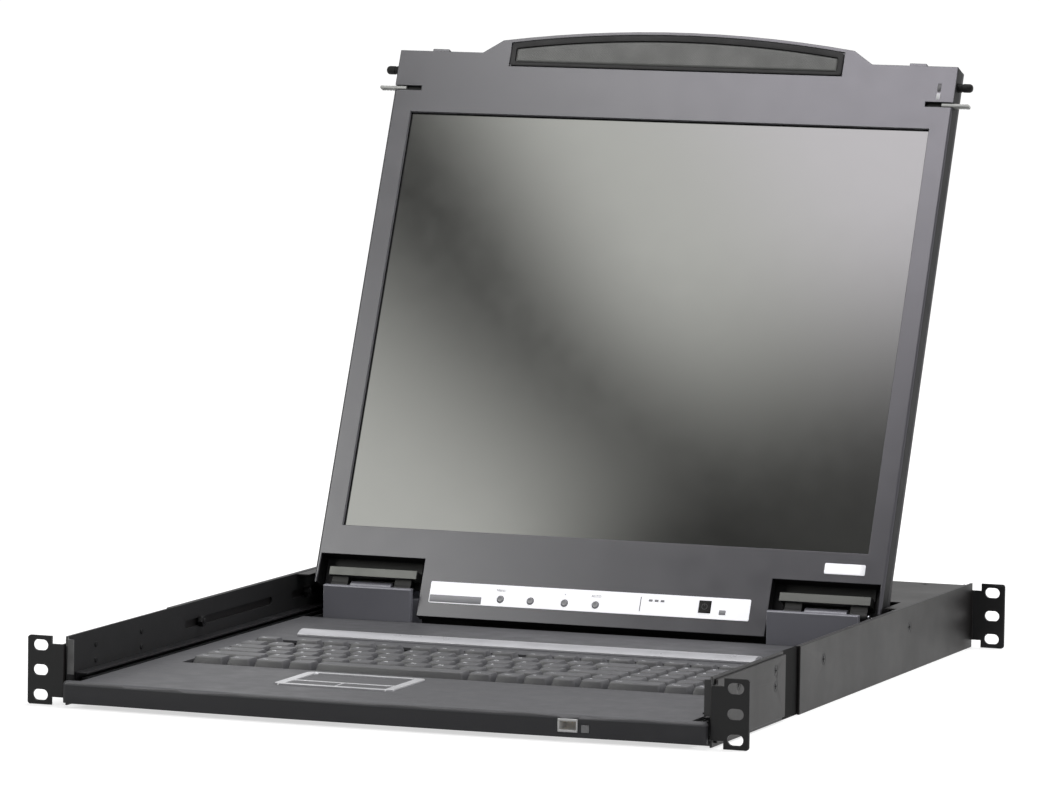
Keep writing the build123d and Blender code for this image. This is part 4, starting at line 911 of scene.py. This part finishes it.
# ------------------------------------------------------------------ floor, light, camera
bm = bmesh.new()
bmesh.ops.create_grid(bm, x_segments=4, y_segments=4, size=30)
floor = mesh_object("floor", bm, [], smooth=0)
floor.location = (0, 12, -0.0222)
fm, nt, b = new_mat("pale_floor")
tc = nt.nodes.new("ShaderNodeTexCoord")
nf = noise(nt, tc.outputs["Object"], 3.0, 2.0)
nt.links.new(ramp(nt, nf.outputs["Fac"], [(0.3, (0.50, 0.50, 0.50)), (0.7, (0.52, 0.52, 0.52))]).outputs[0],
             b.inputs["Base Color"])
b.inputs["Roughness"].default_value = 0.9
b.inputs["Specular IOR Level"].default_value = 0.0
b.inputs["Emission Color"].default_value = (1, 1, 1, 1)
b.inputs["Emission Strength"].default_value = 0.62
floor.data.materials.append(fm)
floor.visible_diffuse = False
floor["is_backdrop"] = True

world = bpy.data.worlds.new("studio")
scene.world = world
world.use_nodes = True
wt = world.node_tree
wt.nodes.clear()
wo = wt.nodes.new("ShaderNodeOutputWorld")
bg = wt.nodes.new("ShaderNodeBackground")
wt.links.new(bg.outputs[0], wo.inputs[0])
wc = wt.nodes.new("ShaderNodeTexCoord")
sep = wt.nodes.new("ShaderNodeSeparateXYZ")
wt.links.new(wc.outputs["Generated"], sep.inputs[0])
up = math_node(wt, "POWER", math_node(wt, "MAXIMUM", sep.outputs["Z"], 0.0), 0.9)
right = math_node(wt, "MAXIMUM", sep.outputs["X"], 0.0)
back = math_node(wt, "MAXIMUM", sep.outputs["Y"], 0.0)
total = math_node(wt, "ADD", math_node(wt, "MULTIPLY", up, 0.85), 0.05)
total = math_node(wt, "ADD", total, math_node(wt, "MULTIPLY", right, 0.30))
total = math_node(wt, "ADD", total, math_node(wt, "MULTIPLY", back, 0.55))
wt.links.new(total, bg.inputs["Strength"])
bg.inputs["Color"].default_value = (1, 1, 1, 1)


def area(name, loc, target, size, power, size_y=None, color=(1, 1, 1)):
    l = bpy.data.lights.new(name, "AREA")
    l.energy = power
    l.size = size
    if size_y:
        l.shape = "RECTANGLE"
        l.size_y = size_y
    l.color = color
    o = bpy.data.objects.new(name, l)
    scene.collection.objects.link(o)
    o.location = loc
    o.rotation_mode = "QUATERNION"
    o.rotation_quaternion = (Vector(target) - Vector(loc)).to_track_quat("-Z", "Y")
    return o


area("key_top", (0.5, 0.9, 2.5), (0, 0.25, 0), 1.6, 34)
area("side_right", (2.6, 1.2, 0.9), (0.1, 0.3, 0.1), 1.2, 8)

# a large soft panel in front of the display, brighter at one end, which the glass mirrors
Q = Vector((-0.5137, -0.6427, 1.1550))
R0 = Vector((-0.33145, -0.71151, 0.61959)).normalized()
EX = (Vector((1, 0, 0)) - R0 * R0.x).normalized()
EY = EX.cross(-R0).normalized()
if EY.z < 0:
    EY = -EY
bm = bmesh.new()
bmesh.ops.create_grid(bm, x_segments=4, y_segments=4, size=1)
for v in bm.verts:
    v.co.x *= 0.84
    v.co.y *= 0.72
panel = mesh_object("soft_panel", bm, [], smooth=0)
EZ = EX.cross(EY)
panel.matrix_world = Matrix(((EX.x, EY.x, EZ.x, Q.x), (EX.y, EY.y, EZ.y, Q.y), (EX.z, EY.z, EZ.z, Q.z), (0, 0, 0, 1)))
pm = bpy.data.materials.new("panel_glow")
pm.use_nodes = True
nt = pm.node_tree
nt.nodes.clear()
out = nt.nodes.new("ShaderNodeOutputMaterial")
em = nt.nodes.new("ShaderNodeEmission")
nt.links.new(em.outputs[0], out.inputs[0])
tc = nt.nodes.new("ShaderNodeTexCoord")
sp = nt.nodes.new("ShaderNodeSeparateXYZ")
nt.links.new(tc.outputs["Object"], sp.inputs[0])
aa, bb = sp.outputs["X"], sp.outputs["Y"]
uu = math_node(nt, "ADD", math_node(nt, "MULTIPLY", math_node(nt, "SUBTRACT", aa, math_node(nt, "MULTIPLY", bb, 0.107)), 2.128), 0.5)
vv = math_node(nt, "SUBTRACT", 0.5, math_node(nt, "MULTIPLY", bb, 2.65))
right_x = math_node(nt, "ADD", math_node(nt, "MULTIPLY", math_node(nt, "SUBTRACT", uu, math_node(nt, "MULTIPLY", vv, 0.6)),
                                         1 / 1.4), 0.4 / 1.4, clamp=True)
left_x = math_node(nt, "ADD", math_node(nt, "MULTIPLY", math_node(nt, "SUBTRACT", vv, math_node(nt, "MULTIPLY", uu, 0.9)),
                                        1 / 1.9), 0.9 / 1.9, clamp=True)
fade_x = math_node(nt, "MULTIPLY", math_node(nt, "ADD", vv, math_node(nt, "MULTIPLY", uu, 0.4)), 1 / 1.4, clamp=True)
corner = math_node(nt, "SUBTRACT", 1.0,
                   math_node(nt, "MULTIPLY", math_node(nt, "MULTIPLY", math_node(nt, "SUBTRACT", vv, 0.8, clamp=True),
                                                       math_node(nt, "SUBTRACT", uu, 0.3, clamp=True)), 12.0), clamp=True)


cool, warm = (0.99, 1.0, 0.94), (1.0, 0.97, 1.0)


def eased(fac, off, span, stops):
    """A soft falloff: each stop is a place, a strength and a tint."""
    n = ramp(nt, fac, [((x + off) / span, (c * t[0], c * t[1], c * t[2])) for x, c, t in stops])
    n.color_ramp.interpolation = "EASE"
    return n


def mixed(kind, a, b):
    n = nt.nodes.new("ShaderNodeMix")
    n.data_type = "RGBA"
    n.blend_type = kind
    n.inputs[0].default_value = 1.0
    nt.links.new(a, n.inputs[6])
    nt.links.new(b, n.inputs[7])
    return n.outputs[2]


# two soft glows with a dark band between them: one to the upper right, fading downward, one to the lower left
glow_r = eased(right_x, 0.4, 1.4, [(-0.1, 0.02, cool), (0.35, 0.4, cool), (0.9, 0.5, warm)])
glow_l = eased(left_x, 0.9, 1.9, [(0.1, 0.02, cool), (0.95, 0.4, cool)])
fade = eased(fade_x, 0.0, 1.4, [(0.5, 1.0, (1, 1, 1)), (1.25, 0.08, (1, 1, 1))])
grey_corner = ramp(nt, corner, [(0.0, (0, 0, 0)), (1.0, (1, 1, 1))])
glow = mixed("LIGHTEN", mixed("MULTIPLY", glow_r.outputs[0], fade.outputs[0]),
             mixed("MULTIPLY", glow_l.outputs[0], grey_corner.outputs[0]))
nt.links.new(glow, em.inputs["Color"])
em.inputs["Strength"].default_value = 12.5
panel.data.materials.append(pm)
panel.visible_camera = False
panel.visible_diffuse = False
panel.visible_shadow = False
panel.visible_transmission = False
panel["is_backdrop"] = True

cam_data = bpy.data.cameras.new("camera")
cam = bpy.data.objects.new("camera", cam_data)
scene.collection.objects.link(cam)
cam_data.sensor_fit = "HORIZONTAL"
cam_data.sensor_width = 36.0
cam_data.lens = 242.68
cam_data.clip_start, cam_data.clip_end = 0.1, 120
yaw, pitch, roll = math.radians(20.3476), math.radians(5.2802), math.radians(0.8395)
fwd = Vector((-math.sin(yaw) * math.cos(pitch), math.cos(yaw) * math.cos(pitch), -math.sin(pitch)))
r = Vector((math.cos(yaw), math.sin(yaw), 0))
u = r.cross(fwd)
r2 = math.cos(roll) * r + math.sin(roll) * u
u2 = -math.sin(roll) * r + math.cos(roll) * u
CAM = Vector((1.5853, -4.0356, 0.5841))
cam.matrix_world = Matrix(((r2.x, u2.x, -fwd.x, CAM.x), (r2.y, u2.y, -fwd.y, CAM.y), (r2.z, u2.z, -fwd.z, CAM.z),
                           (0, 0, 0, 1)))
scene.camera = cam
scene.view_settings.view_transform = "Standard"
scene.view_settings.look = "None"

# ------------------------------------------------------------------ end
lo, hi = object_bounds()
{"cad": [list(CAD_LO), list(CAD_HI)], "visual": [list(lo), list(hi)]}
